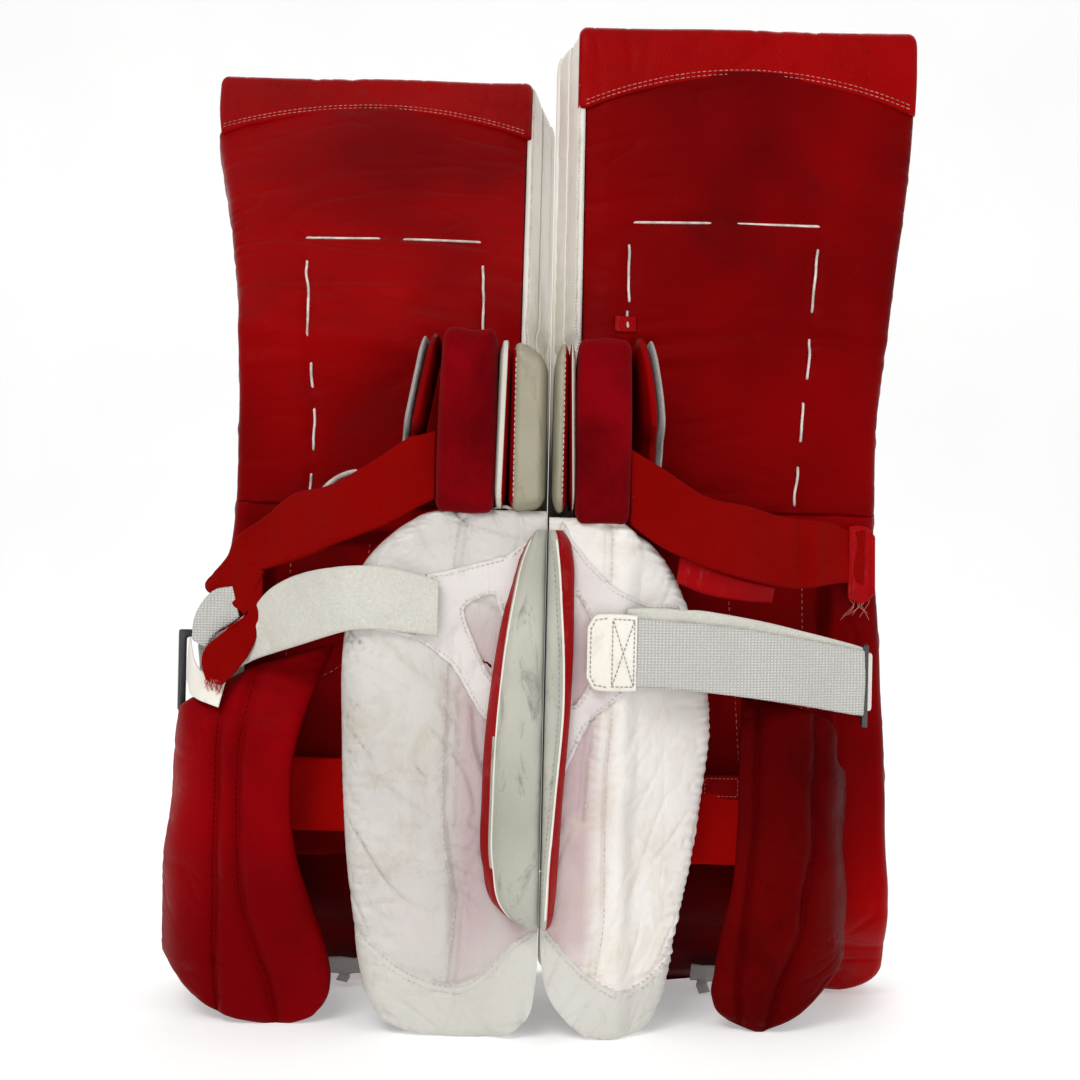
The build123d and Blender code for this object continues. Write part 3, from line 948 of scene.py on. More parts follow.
def front_skins(side):
    nu, nv = 60, 170
    t = 0.5 - 0.5 * np.cos(np.linspace(0, math.pi, nu))
    z = np.linspace(98, 779, nv)
    x0, x1 = 0.15, edge_x(z, side) + 2.5
    X = x0 + t[None, :] * (x1[:, None] - x0)
    Z = np.repeat(z[:, None], nu, 1)
    d = np.minimum(X - x0, x1[:, None] - X)
    h = 2.6 * edge_round(d, 3.0)
    seams = np.zeros_like(X)
    for k in (0.33, 0.68):
        seams = seams + np.exp(-(((X - (x0 + k * (x1[:, None] - x0))) / 1.6) ** 2))
    for zz in (250, 400, 640):
        seams = seams + np.exp(-(((Z - zz - 0.06 * (X - 150)) / 1.6) ** 2))
    break_line = np.exp(-(((Z - KNEE_Z) / 5.0) ** 2)) + np.exp(-(((Z - 389) / 5.0) ** 2))
    swell = 0.7 * waves(X, Z, 120, 71) - 0.9 * seams - 1.2 * break_line
    front = np.stack([X, 33.6 + h + swell * (h / 2.6), Z], 2)
    rear = np.stack([X, 33.2 - h, Z], 2)
    ob = shell(side + "_front_skin", lean(top_in(front), side), lean(top_in(rear), side), side, [M["white"]])
    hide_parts(side + "_thigh_face", side + "_shin_face")
    across_knee(ob, side)

    v = 1 - np.cos(np.linspace(0, math.pi / 2, 60))
    up = (1 - v) * 110.0
    x1 = edge_x(96.0 * (1 - v), side) + 3.0 - 46.0 * (1 - edge_round(up + 0.5, 46.0))
    x0 = 0.2 + 14.0 * (1 - edge_round(up + 0.5, 16.0))
    X = x0[:, None] + t[None, :] * (x1 - x0)[:, None]
    d = np.minimum(X - x0[:, None], x1[:, None] - X)
    h = 2.6 * edge_round(d, 3.0) * edge_round((1 - v)[:, None] * 96, 3.0)
    tall = 117.0
    Z = 97.5 - v[:, None] * tall + 12.0 * np.exp(-(((X - 145) / 80.0) ** 2)) * step(v * 1.6 - 0.5)[:, None]
    front = boot_bend(np.stack([X, 33.4 + h, Z], 2))
    rear = boot_bend(np.stack([X, 33.0 - h, Z], 2))
    for g in (front, rear):
        g[..., 2] = np.maximum(g[..., 2], 0.3)
    ob = shell(side + "_boot_skin", front, rear, side, [M["white"]])
    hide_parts(side + "_boot_face")
    across_ankle(ob, side)


def side_wall(side):
    """Slanted inner wall in two padded strips with a piped seam between them."""
    n = 40
    t = np.linspace(0, 1, n)
    rings, seam_a, seam_b = [], [], []
    seed = 91 if side == "right" else 93
    for z in np.linspace(96, 779, 190):
        y = FRONT - 1 - t * 54
        x = 3.2 + 16.6 * t
        strip = np.abs(np.sin(math.pi * np.clip(t * 1.9 - 0.02, 0, 1.88)))
        bulge = 2.4 * strip**0.6
        zz = np.full(n, z)
        crease = np.exp(-(((z - KNEE_Z - 4 * (t - 0.5)) / 5.0) ** 2))
        crease = crease + np.exp(-(((z - 390 - 5 * (t - 0.5)) / 5.0) ** 2))
        wrinkle = 0.7 * waves(t * 60, zz, 26, seed, 2.0) * (0.35 + crease)
        x = np.maximum(x - bulge * 0.62 + crease * 1.6 + wrinkle * 0.6 - 0.6, 0.3)
        y = y - bulge * 0.45 + crease * 1.0
        outer = np.stack([x, y, zz], 1)
        inner_y = FRONT - 2 - t[::-1] * 52
        inner = np.stack([wall_in(inner_y) - 0.6, inner_y, zz], 1)
        rings.append(np.vstack([outer, inner]))
        seam_a.append(outer[20] + [-0.5, -0.4, 0])
        seam_b.append(outer[-1] + [0.9, -0.7, 0])
    ob = loft(side + "_inner_wall", lean(top_in(np.array(rings)), side), side, [M["white"]])
    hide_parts(side + "_thigh_wall", side + "_shin_wall")
    across_knee(ob, side)
    pipe = tube(side + "_wall_piping", lean(top_in(np.array(seam_a)), side), 0.9, side, M["white"])
    across_knee(pipe, side)
    line = lean(top_in(np.array(seam_b)), side)
    nrm = np.tile([-0.4, -0.9, 0], (len(line), 1))
    st = stitches(side + "_wall_overlock", line, nrm, side, M["thread_white"], 2.6, 2.6, 0.45, 0.9)
    across_knee(st, side)


def top_cap(side):
    rings = []
    first = {"right": 17.5, "left": 20.5}[side]
    for s in 0.5 - 0.5 * np.cos(np.linspace(0, math.pi, 110)):
        x = first + (294.5 - first) * s
        d = min(x - first, 294.5 - x)
        side_in = 7.0 * (1 - edge_round(d, 7.0))
        low = float(arch(np.clip(x, 25, 289)))
        r = 9.5
        y0, y1, top = -22.6 + side_in * 0.5, 38.5 - side_in, 788.6 - side_in
        pts = [(y0 + 2.4, low + 0.5), (y0 + 0.3, low + 1.5), (y0, low + 3.5)]
        pts += [(y0, z) for z in np.linspace(low + 8, top - r, 10)]
        for a in np.linspace(0, math.pi / 2, 10):
            pts.append((y0 + r - r * math.cos(a), top - r + r * math.sin(a)))
        pts += [(y, top) for y in np.linspace(y0 + r, y1 - r, 9)[1:-1]]
        for a in np.linspace(math.pi / 2, 0, 10):
            pts.append((y1 - r + r * math.cos(a), top - r + r * math.sin(a)))
        pts += [(y1, z) for z in np.linspace(top - r, 742, 7)[1:]]
        pts += [(y1 - 1.4, 740)]
        ring = np.array([[x, y, z] for y, z in pts])
        around = ring[:, 2] - ring[:, 1]
        bump = 0.55 * waves(ring[:, 0], around, 110, 41, 2.0)
        bump = bump - 0.9 * folds(ring[:, 0], around, 60, 43, 2.6, 62, 0.16)
        bump = bump - 0.7 * folds(ring[:, 0], around, 44, 45, 2.6, 112, 0.16)
        ring[:, 1] += np.where(ring[:, 1] < 8, -bump, bump * 0.5)
        ring[:, 2] += np.where(ring[:, 2] > 775, bump * 0.4, 0)
        # sides follow the pad's own edge
        lateral = (x - first) / (294.5 - first)
        ring[:, 0] += lateral * (edge_x(ring[:, 2], side) + 1.2 - 294.5)
        front = np.clip((ring[:, 1] - 8) / 20.0, 0, 1)
        ring[:, 1] -= front * 19.0 * (1 - edge_round(790.0 - ring[:, 2], 27.0))
        rings.append(ring)
    ob = loft(side + "_top_cap", lean(np.array(rings), side), side, [M["cap"]])
    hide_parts(side + "_thigh_cap")
    tree = bvh(ob)
    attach(ob, side + "_thigh")
    x = np.linspace(first + 6, 287, 130)
    flat = lean(np.stack([x, np.full(130, -22.8), arch(x) + 3.4], 1), side)
    turn = math.radians(LEAN[side])
    for k, lift in enumerate((0.0, 3.4)):
        line = flat[:, [0, 2]] + [0, lift * math.cos(turn)]
        p, nrm = onto(tree, line, side, 0.15)
        mat = M["thread_pink"]
        st = stitches(f"{side}_cap_seam_{k}", p, nrm, side, mat, 4.4, 3.0, 0.36)
        sewn(st, side + "_thigh")


def laces(side):
    """Laces that run in and out of eyelets in the back lining."""
    runs = LACE_RUNS[side]
    for i, (a, b) in enumerate(runs):
        n = 26
        x = np.linspace(a[0], b[0], n)
        z = np.linspace(a[1], b[1], n)
        s = np.linspace(0, 1, n)
        y = BACK - back_relief(x, z, side) - 0.7 + 1.8 * (1 - edge_round(np.minimum(s, 1 - s), 0.08))
        x = x + 0.35 * waves(x, z, 30, 60 + i)
        line = lean(np.stack([x, y, z], 1), side)
        high = max(a[1], b[1])
        ob = tube(f"{side}_lace_{i}", line, 1.05, side, M["lace"])
        if i == 0:
            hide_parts(side + "_thigh_lacing")
        if min(a[1], b[1]) > KNEE_Z + 6:
            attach(ob, side + "_thigh")
        elif high < KNEE_Z - 6:
            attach(ob, side + "_shin")
        else:
            across_knee(ob, side)



# ------------------------------------------------------- inner calf wrap


WRAP_FREE = {
    "left": [(0, 84), (2, 96), (7, 110), (22, 124), (45, 133), (82, 139), (141, 146), (215, 150),
             (289, 151), (326, 147), (352, 136), (371, 119), (383, 103), (390, 88), (392.5, 76)],
    "right": [(0, 84), (3, 91), (8, 98), (22, 107), (45, 114), (68, 120), (113, 130), (159, 140),
              (204, 146), (250, 148), (295, 137), (325, 124), (345, 113), (364, 96), (378, 75),
             (386, 56), (388, 46)],
}
WRAP_MEDIAL = {
    "left": [(0, 34), (3, 24), (9, 14), (20, 6), (35, 2.8), (90, 1.0), (130, 1.0), (392.5, 1.0)],
    "right": [(0, 47), (3, 37), (8, 29), (18, 18), (30, 9), (45, 4), (65, 1.4), (100, 1.0), (388, 1.0)],
}
WRAP_SEAMS = {
    "left": [[(69, 300), (69.5, 271), (70, 163), (66, 130), (60, 104), (62, 70), (64, 41)],
             [(67, 345), (65, 366), (62, 386)]],
    "right": [[(48, 250), (45, 205), (44, 163), (44.5, 120), (44, 82), (39, 48)],
              [(45, 340), (45, 386)], [(35, 240), (31, 200), (29, 163)]],
}
WRAP_BAND = {
    "left": [(142, 82), (128, 70), (100, 50), (64, 38), (40, 48), (20, 70), (6, 80)],
    "right": [(4, 82), (18, 66), (39, 47), (62, 36), (80, 40), (97, 50), (116, 66), (128, 82)],
}
CURL = {"left": 0.0, "right": 30.0}


def curl(p, side):
    """Turns the free part of the wrap about its seam, over a short bend."""
    if not CURL[side]:
        return p
    w = step((p[..., 0] - 44) / 34.0)
    a = np.radians(CURL[side]) * w
    x = p[..., 0] - SEAM_X
    y = p[..., 1] - WRAP_Y
    out = p.copy()
    out[..., 0] = SEAM_X + x * np.cos(a) - y * np.sin(a)
    out[..., 1] = WRAP_Y + x * np.sin(a) + y * np.cos(a)
    return out


def calf_pad(side):
    nx, nz = 120, 210
    high = WRAP_FREE[side][-1][0]
    ends = 1 - np.cos(np.linspace(0, math.pi / 2, 30))
    z0 = np.concatenate([22 * ends, np.linspace(23.5, high - 23.5, nz - 60), high - 22 * ends[::-1]])
    z0[0] = 0.05
    t = 0.5 - 0.5 * np.cos(np.linspace(0, math.pi, nx))
    xf = curve(WRAP_FREE[side], z0)
    xm = curve(WRAP_MEDIAL[side], z0)
    middle = (xf + xm) / 2
    shrink = 1 - 0.2 * (1 - edge_round(z0 + 0.4, 6.0))
    xf = middle + (xf - middle) * shrink
    xm = middle + (xm - middle) * shrink
    X = xm[:, None] + (xf - xm)[:, None] * t[None, :]
    Z = np.repeat(z0[:, None], nx, 1)
    d = np.minimum(np.minimum((xf[:, None] - X) * 0.92, X - xm[:, None] + 6), Z * 1.4 + 1.5)
    top = high - Z
    thick = 17.0 * (0.06 + 0.94 * edge_round(np.minimum(d, top + 1.5), 11.0))
    seed = 5 if side == "left" else 8
    calm = 2.3 if side == "left" else 1.0
    edgewise = np.exp(-((xf[:, None] - X) / 45.0))
    r = 1.2 * calm * waves(X, Z, 120, seed, 1.2)
    r = r - 1.2 * calm * folds(X, Z, 50, seed + 1, 3.4, 52, 0.2)
    r = r - 0.8 * calm * folds(X, Z, 34, seed + 2, 3.2, 30, 0.2)
    r = r - 0.5 * folds(X, Z, 20, seed + 3, 2.5, 75, 0.22)
    r = r - 1.1 * calm * edgewise * folds(X, Z, 22, seed + 6, 3.0, 28, 0.25)
    r = r - 1.0 * calm * folds(X, Z, 26, seed + 9, 4.0, 38,
    0.16) * step((290 - Z) / 60) * step((Z - 150) / 60)
    # the padding stops at the main seam; beside the wedge there is only leather
    sx = 69.0 if side == "left" else 45.5
    flat = step((sx + 1.5 - X) / 9.0) * step((Z - 46) / 34.0) * step((330 - Z) / 60.0)
    r = r - (5.0 if side == "left" else 3.6) * flat
    r = r + 1.8 * np.exp(-(((X - sx - 13) / 9.0) ** 2)) * step((Z - 60) / 40) * step((300 - Z) / 60)
    free = xf[:, None] - X
    pucker = np.sin(Z / 7.5 * 2 * math.pi + 1.8 * waves(X, Z, 55, seed + 4))
    r = r + 1.25 * pucker * np.exp(-(((free - 9) / 9.0) ** 2)) * step(Z / 60)
    # puckers on both sides of the seams, which pull the padding in
    for line in WRAP_SEAMS[side]:
        q = near(X, Z, line)
        r = r - 3.0 * np.exp(-((q / 2.6) ** 2)) - 1.6 * np.exp(-((q / 9.0) ** 2))
        r = r + 0.5 * pucker * np.exp(-(((q - 6) / 4.0) ** 2))
    q = near(X, Z, WRAP_BAND[side])
    r = r - 2.0 * np.exp(-((q / 2.2) ** 2)) + 0.6 * pucker * np.exp(-(((q - 5) / 4.0) ** 2))
    y = WRAP_Y + 3.6 - r
    y = y + 5.0 * (1 - edge_round(np.minimum(np.minimum(d + 1.5, top + 3), 30), 28.0)) ** 1.3
    y = y + 8.0 * (1 - edge_round(free + 3, 30.0)) ** 1.5
    y = np.maximum(y, WRAP_Y - 0.6)
    mid = y + thick / 2 + (17.0 - thick) * 0.42
    rear = curl(np.stack([X, mid - thick / 2, Z], 2), side)
    front = curl(np.stack([X, mid + thick / 2, Z], 2), side)

    band = np.array(sorted(WRAP_BAND[side]), float)
    band[:, 0] = project(band, side)[:, 0]

    def pick(c, n):
        if n[1] > 0.25 and c[0] > 58:
            return 1
        return 2 if c[2] < np.interp(c[0], band[:, 0], band[:, 1]) and n[1] < 0 else 0

    # The left wrap uses the darker copy of the white cloth and the right wrap the brighter one: painted
    # shade and painted light.
    mats = [M["wrap_" + side], M["nylon_dark"], M["foot"]]
    ob = shell(side + "_calf_pad", rear, front, side, mats, pick)
    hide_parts(side + "_inner_flap", side + "_wrap_base")
    tree = bvh(ob)
    across_seam(ob, side)
    # dark red binding where the lining meets the outside on the free edge
    k = np.arange(8, nz - 3)
    edge = (rear[k, -1] + front[k, -1]) / 2
    inner = front[k, -6]
    line = inner + (edge - inner) * 0.15 + np.array([0, 1.2, 0])
    pipe = tube(side + "_calf_pad_binding", line[::2], 1.3, side, M["red_edge"])
    across_seam(pipe, side)
    for i, seam in enumerate(WRAP_SEAMS[side] + [WRAP_BAND[side]]):
        for j, off in enumerate((0, 4.2) if i == len(WRAP_SEAMS[side]) else (3.4,)):
            path = spline(seam, 80)
            path = path + np.array([off, 0]) if i < len(WRAP_SEAMS[side]) else path - np.array([0, off])
            st = sewn_line(f"{side}_calf_pad_stitch_{i}_{j}", tree, project(path, side), side, 0.1,
            M["thread_white"], 4.4, 3.0, 0.42)
            if st:
                across_seam(st, side)
    base = []
    for z in np.linspace(3, 380, 60):
        zz = min(z, 380)
        inset = 10 * (1 - edge_round(min(z, 383 - z) + 1, 14.0))
        line = spline([(34, -20.5), (37, -50), (42, -82), (46, -103)], 16)
        tan = np.gradient(line, axis=0)
        nrm = np.stack([tan[:, 1], -tan[:, 0]], 1) / np.linalg.norm(tan, axis=1)[:, None]
        half = (6.5 - inset * 0.4) * (1 + 0.06 * waves(line[:, 1], np.full(16, z), 50, 4))
        a = line + nrm * half[:, None]
        b = (line - nrm * half[:, None])[::-1]
        loop = np.vstack([a, b])
        base.append(np.column_stack([loop, np.full(len(loop), zz)]))
    ob = loft(side + "_calf_pad_web", np.array(base), side, [M["nylon_dark"]])
    sewn(ob, side + "_shin")
    return tree


def project(path, side):
    """Moves (x, z) points drawn on the flat wrap to where the curled wrap shows them."""
    p = np.column_stack([path[:, 0], np.full(len(path), WRAP_Y), path[:, 1]])
    q = curl(p, side)
    return q[:, [0, 2]]


def across_seam(ob, side):
    joined(ob, side, [SEAM_X - 8, WRAP_Y, 200], [SEAM_X + 10, WRAP_Y, 200])


YOKE = {
    "left": ([(122, 349), (94, 343), (66, 349), (32, 358), (9, 364), (9, 214), (24, 222),
              (47, 240), (69, 275), (92, 293), (110, 299), (128, 303), (133, 325)],
             [(38, 330), (61, 318), (44, 275), (31, 262), (27, 300)]),
    "right": ([(100, 322), (76, 325), (52, 336), (33, 354), (19, 371), (9, 378), (9, 196),
               (21, 208), (32, 233), (49, 250), (65, 262), (84, 266), (104, 268)],
              [(20, 331), (35, 308), (35, 270), (20, 249)]),
}


def smooth_loop(points, count):
    p = np.asarray(points, float)
    big = np.vstack([p[-2:], p, p[:2]])
    fine = []
    for i in range(1, len(big) - 2):
        a, b, c, d = big[i - 1], big[i], big[i + 1], big[i + 2]
        s = np.linspace(0, 1, 12, endpoint=False)[:, None]
        m0, m1 = (c - a) * 0.3, (d - b) * 0.3
        start = (2 * s**3 - 3 * s**2 + 1) * b + (s**3 - 2 * s**2 + s) * m0
        fine.append(start + ((-2 * s**3 + 3 * s**2) * c + (s**3 - s**2) * m1))
    fine = np.vstack(fine)[12:-12] if len(fine) > len(p) else np.vstack(fine)
    closed = np.vstack([fine, fine[:1]])
    return even(closed, count + 1)[:-1]


def inset(loop, by):
    """Loop moved inwards by a distance."""
    p = np.asarray(loop, float)
    area = np.sum(p[:, 0] * np.roll(p[:, 1], -1) - np.roll(p[:, 0], -1) * p[:, 1])
    t = np.roll(p, -1, 0) - np.roll(p, 1, 0)
    n = np.stack([-t[:, 1], t[:, 0]], 1) / (np.linalg.norm(t, axis=1)[:, None] + 1e-9)
    return p + n * by * (1 if area > 0 else -1)


def yoke(side, tree):
    """White leather reinforcement sewn on the wrap where its strap is fixed."""
    outer, hole = YOKE[side]
    loop, gap = smooth_loop(outer, 150), smooth_loop(hole, 60)
    ob = drape(side + "_calf_yoke", loop, tree, side, [M["yoke"]], 0.2, 1.3, [gap])
    across_seam(ob, side)
    for line, name in ((inset(loop, 2.6), "edge"), (inset(gap, -2.6), "gap")):
        keep = np.array([q for q in line if q[0] > 12])
        p, n = onto(tree, keep, side, 1.7)
        if len(p) > 3:
            st = stitches(f"{side}_yoke_{name}", p, n, side, M["thread_white"], 3.8, 2.6, 0.38)
            across_seam(st, side)


# --------------------------------------------------------- calf wedge


WEDGE_EDGE = {
    "left": [(84, 13), (92, 25), (101, 34), (130, 43), (181, 44.5), (254, 40.6), (327, 29), (360, 20),
    (372, 14), (379, 9)],
    "right": [(84, 8), (92, 10), (104, 11.5), (130, 13), (181, 15.5), (254, 20), (327, 20.5), (360, 19),
    (372, 16), (379, 11)],
}
WEDGE_SPLIT = {
    "left": [(84, 0.8), (379, 0.8)],
    "right": [(84, 0.15), (114, 0.22), (180, 0.5), (240, 0.66), (325, 0.45), (367, 0.27), (379, 0.2)],
}


def wedge(side):
    rings = []
    seed = 13 if side == "left" else 17
    for z in 84.5 + 294.0 * (0.5 - 0.5 * np.cos(np.linspace(0, math.pi, 130))):
        x1 = float(curve(WEDGE_EDGE[side], z))
        wide = x1 - 3.5
        end = edge_round(min(z - 83.0, 379.5 - z), 26.0)
        rear = -133.0 + 9.0 * (1 - end)
        if side == "left":
            pts = [(3.8, -24), (1.6, -70), (0.6, -118), (2.0, rear + 5), (7.5, rear + 1.2)]
            pts += [(3.5 + wide * 0.45, rear), (3.5 + wide * 0.72, rear + 1.8)]
            pts += [(x1 - 1.0, rear + 15), (x1, rear + 22), (x1 - 1.2, rear + 34)]
            pts += [(3.5 + wide * 0.62, -60), (3.5 + wide * 0.46, -24)]
        else:
            pts = [(3.8, -24), (1.6, -70), (0.6, -118), (1.0, rear + 4), (3.0, rear + 1.0)]
            pts += [(3.5 + wide * 0.2, rear), (3.5 + wide * 0.42, rear + 2.2)]
            pts += [(x1 - 0.8, rear + 11), (x1, rear + 17), (x1 - 0.8, rear + 32)]
            pts += [(3.5 + wide * 0.95, -60), (3.5 + wide * 0.9, -24)]
        line = spline(pts, 74)
        line[:, 0] = np.maximum(line[:, 0], 0.6)
        zz = np.full(74, z)
        puff = 0.8 * waves(line[:, 0] * 1.5, zz, 60, seed) - 1.0 * folds(line[:, 0] * 1.5, zz, 30, seed + 1,
        3, 80, 0.25)
        line[:, 1] += np.where(line[:, 1] < -100, -np.minimum(puff, 0.4), 0)
        rings.append(np.column_stack([line, zz]))
    rings = np.array(rings)

    def pick(c, n):
        x1 = float(curve(WEDGE_EDGE[side], c[2]))
        edge = 3.5 + (x1 - 3.5) * float(curve(WEDGE_SPLIT[side], c[2]))
        if c[0] > edge and n[0] > 0.02:
            return 1
        return 1 if c[0] > edge + 1 or c[1] > -30 else 0

    # The wedge's white face uses the darker copy of the white leather, with its scuffs: the darker base is
    # painted shade.
    ob = loft(side + "_wedge", rings, side, [M["scuffed_and_shaded"], M["red_edge"]], pick)
    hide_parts(side + "_calf_wedge")
    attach(ob, side + "_shin")
    tree = bvh(ob)
    z = np.linspace(92, 372, 140)
    x1 = curve(WEDGE_EDGE[side], z)
    x = 3.5 + (x1 - 3.5) * curve(WEDGE_SPLIT[side], z)
    p, n = onto(tree, np.stack([x - 0.4, z], 1), side, 0.35)
    pipe = tube(side + "_wedge_piping", p, 0.9, side, M["white"])
    sewn(pipe, side + "_shin")
    st = sewn_line(side + "_wedge_stitch", tree, np.stack([x - 3.6, z], 1), side, 0.1, M["thread_grey"],
    4.2, 2.6, 0.3)
    sewn(st, side + "_shin")


# --------------------------------------------------------- outer calf wrap


OUTER = {
    "left": {
        "path": [(286.5, -25), (288, -38), (284, -58), (270, -77), (240, -88), (200, -88), (150, -84)],
        "free": [(0, 186), (3, 175), (10, 165.5), (20, 159), (31, 157), (58, 161), (87, 171), (125, 184),
                 (161, 190), (200, 189), (228, 183), (255, 175), (286, 163)],
        "start": [(0, 206), (3, 226), (8, 244), (14, 256), (24, 270), (34, 279), (46, 286), (56, 288)],
        "above": [(232, 288), (237, 284), (247, 268), (257, 247), (268, 225), (279, 190), (286, 168)],
        "seams": [[(246, 262), (248, 220), (249, 160), (249, 80), (245, 8)],
                  [(222, 268), (226, 245), (232, 191), (230, 117), (224, 80), (206, 34), (198, 2)]],
        "top": 286,
        "thick": 15.0,
    },
    "right": {
        "path": [(240, -25), (240, -44), (233, -62), (222, -74), (200, -83), (170, -83), (130, -79)],
        "free": [(0, 166), (4, 153), (10, 141.5), (25, 132.5), (43, 134), (80, 140), (108, 146),
                 (154, 149), (200, 150), (253, 151)],
        "start": [(0, 172), (4, 180), (8, 190), (14, 202), (30, 222), (44, 233), (56, 240)],
        "above": [(196, 240), (202, 234), (236, 224), (242, 214), (247, 195), (253, 156)],
        "seams": [[(163, 250), (162.8, 154), (156, 80), (151.8, 34), (154, 5)],
                  [(212, 240), (209, 132), (201, 77), (184, 33), (175, 4)]],
        "top": 253,
        "thick": 14.0,
    },
}


def falling(fine, gaps):
    """Distance along a path as a table over falling x, for a path that runs inwards."""
    x = np.minimum.accumulate(fine[:, 0] - 1e-6 * np.arange(len(fine)))
    return x[::-1], gaps[::-1]


def outer_wrap(side):
    o = OUTER[side]
    fine = spline(o["path"], 500)
    gaps = np.concatenate([[0], np.cumsum(np.linalg.norm(np.diff(fine, axis=0), axis=1))])
    tan = np.gradient(fine, axis=0)
    tan /= np.linalg.norm(tan, axis=1)[:, None]
    out = np.stack([tan[:, 1], -tan[:, 0]], 1)
    if out[len(out) * 3 // 4][1] > 0:
        out = -out

    def along(x):
        return np.interp(x, *falling(fine, gaps))

    nu, nz = 130, 150
    top = o["top"]
    z = top * (0.5 - 0.5 * np.cos(np.linspace(0.02, math.pi, nz)))
    u1 = along(curve(o["free"], z))
    low, high = o["start"][-1][0], o["above"][0][0]
    u0 = np.zeros(nz)
    below, above = z < low, z > high
    u0[below] = np.interp(curve(o["start"], z[below]), *falling(fine, gaps))
    u0[above] = np.interp(curve(o["above"], z[above]), *falling(fine, gaps))
    u0 = np.clip(u0, 0, u1 - 1.0)
    kernel = np.hanning(9) / np.hanning(9).sum()
    u0 = np.convolve(np.pad(u0, 4, mode="edge"), kernel, mode="valid")
    t = 0.5 - 0.5 * np.cos(np.linspace(0, math.pi, nu))
    U = u0[:, None] + (u1 - u0)[:, None] * t[None, :]
    Z = np.repeat(z[:, None], nu, 1)
    X = np.interp(U, gaps, fine[:, 0])
    Y = np.interp(U, gaps, fine[:, 1])
    NX = np.interp(U, gaps, out[:, 0])
    NY = np.interp(U, gaps, out[:, 1])
    if side == "left":
        # stands out over the boot and tucks in under the strap
        out_by = 9.0 * np.exp(-(((Z - 82) / 62.0) ** 2)) * step((Z + 30) / 60)
        X = X + out_by * np.exp(-((U / 90.0) ** 2)) * step(U / 26)
        Y = Y + 30.0 * step((Z - 216) / 62.0) * np.clip((-25 - Y) / 60.0, 0, 1)
    else:
        Y = Y + 8.0 * step((Z - 216) / 40.0) * np.clip((-25 - Y) / 60.0, 0, 1)
    d = np.minimum(u1[:, None] - U, np.minimum(Z + 0.5, top - Z + 0.5))
    far = U - u0[:, None] + 15.0 * (1 - step(u0[:, None] / 26.0)) + 0.5
    d = np.minimum(d, far)
    h = o["thick"] / 2 * (0.1 + 0.9 * edge_round(d, 12.0))
    seed = 21 if side == "left" else 27
    puff = 1.4 * waves(U, Z, 90, seed) - 1.3 * folds(U, Z, 44, seed + 1, 3.0, 8, 0.22)
    puff = puff - 0.8 * folds(U, Z, 26, seed + 2, 2.6, -20, 0.22)
    for line in o["seams"]:
        q = near(X, Z, line)
        puff = puff - 4.2 * np.exp(-((q / 5.0) ** 2)) - 1.6 * np.exp(-((q / 1.6) ** 2))
    puff = puff - 1.0 + 0.5 * np.sin(Z / 9.0 * 2 * math.pi + waves(U, Z, 60,
    seed + 3)) * np.exp(-(((u1[:, None] - U - 7) / 6.0) ** 2))
    rear = np.stack([X + NX * (h + puff * (h / (o["thick"] / 2)) - 7.5),
    Y + NY * (h + puff * (h / (o["thick"] / 2)) - 7.5), Z], 2)
    front = np.stack([X + NX * (-h - 7.5), Y + NY * (-h - 7.5), Z], 2)
    # The right outer pad gets the much darker copy of the red wrap cloth: painted shade.
    ob = shell(side + "_outer_pad", rear, front, side,
    [M["wrap_red"] if side == "left" else M["wrap_red_shaded"]])
    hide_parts(side + "_outer_wrap")
    tree = bvh(ob)
    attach(ob, side + "_wrap")
    for i, line in enumerate(o["seams"]):
        st = sewn_line(f"{side}_outer_pad_seam_{i}", tree, spline(line, 90)[3:-3], side, 0.05,
        M["thread_dark"], 4.6, 3.4, 0.36)
        if st:
            sewn(st, side + "_wrap")
    if side == "left":
        # the stitched end of the ring's band, sewn to the top of the wrap
        upper = [(276, -50, 290), (273, -58, 282), (269, -63, 272), (262, -66, 264), (252, -67.5, 263),
        (243, -69, 262.5)]
        lower = [(277, -52, 256), (274, -60, 252), (271, -68, 247), (263, -77, 243.5), (255, -80, 241),
        (247, -82, 238.5)]
        ob = ribbon("left_ring_band_end", upper, lower, 1.8, side, [M["white"]], 60, 26)
        sewn(ob, "left_wrap")


# ------------------------------------------------------------ knee stack


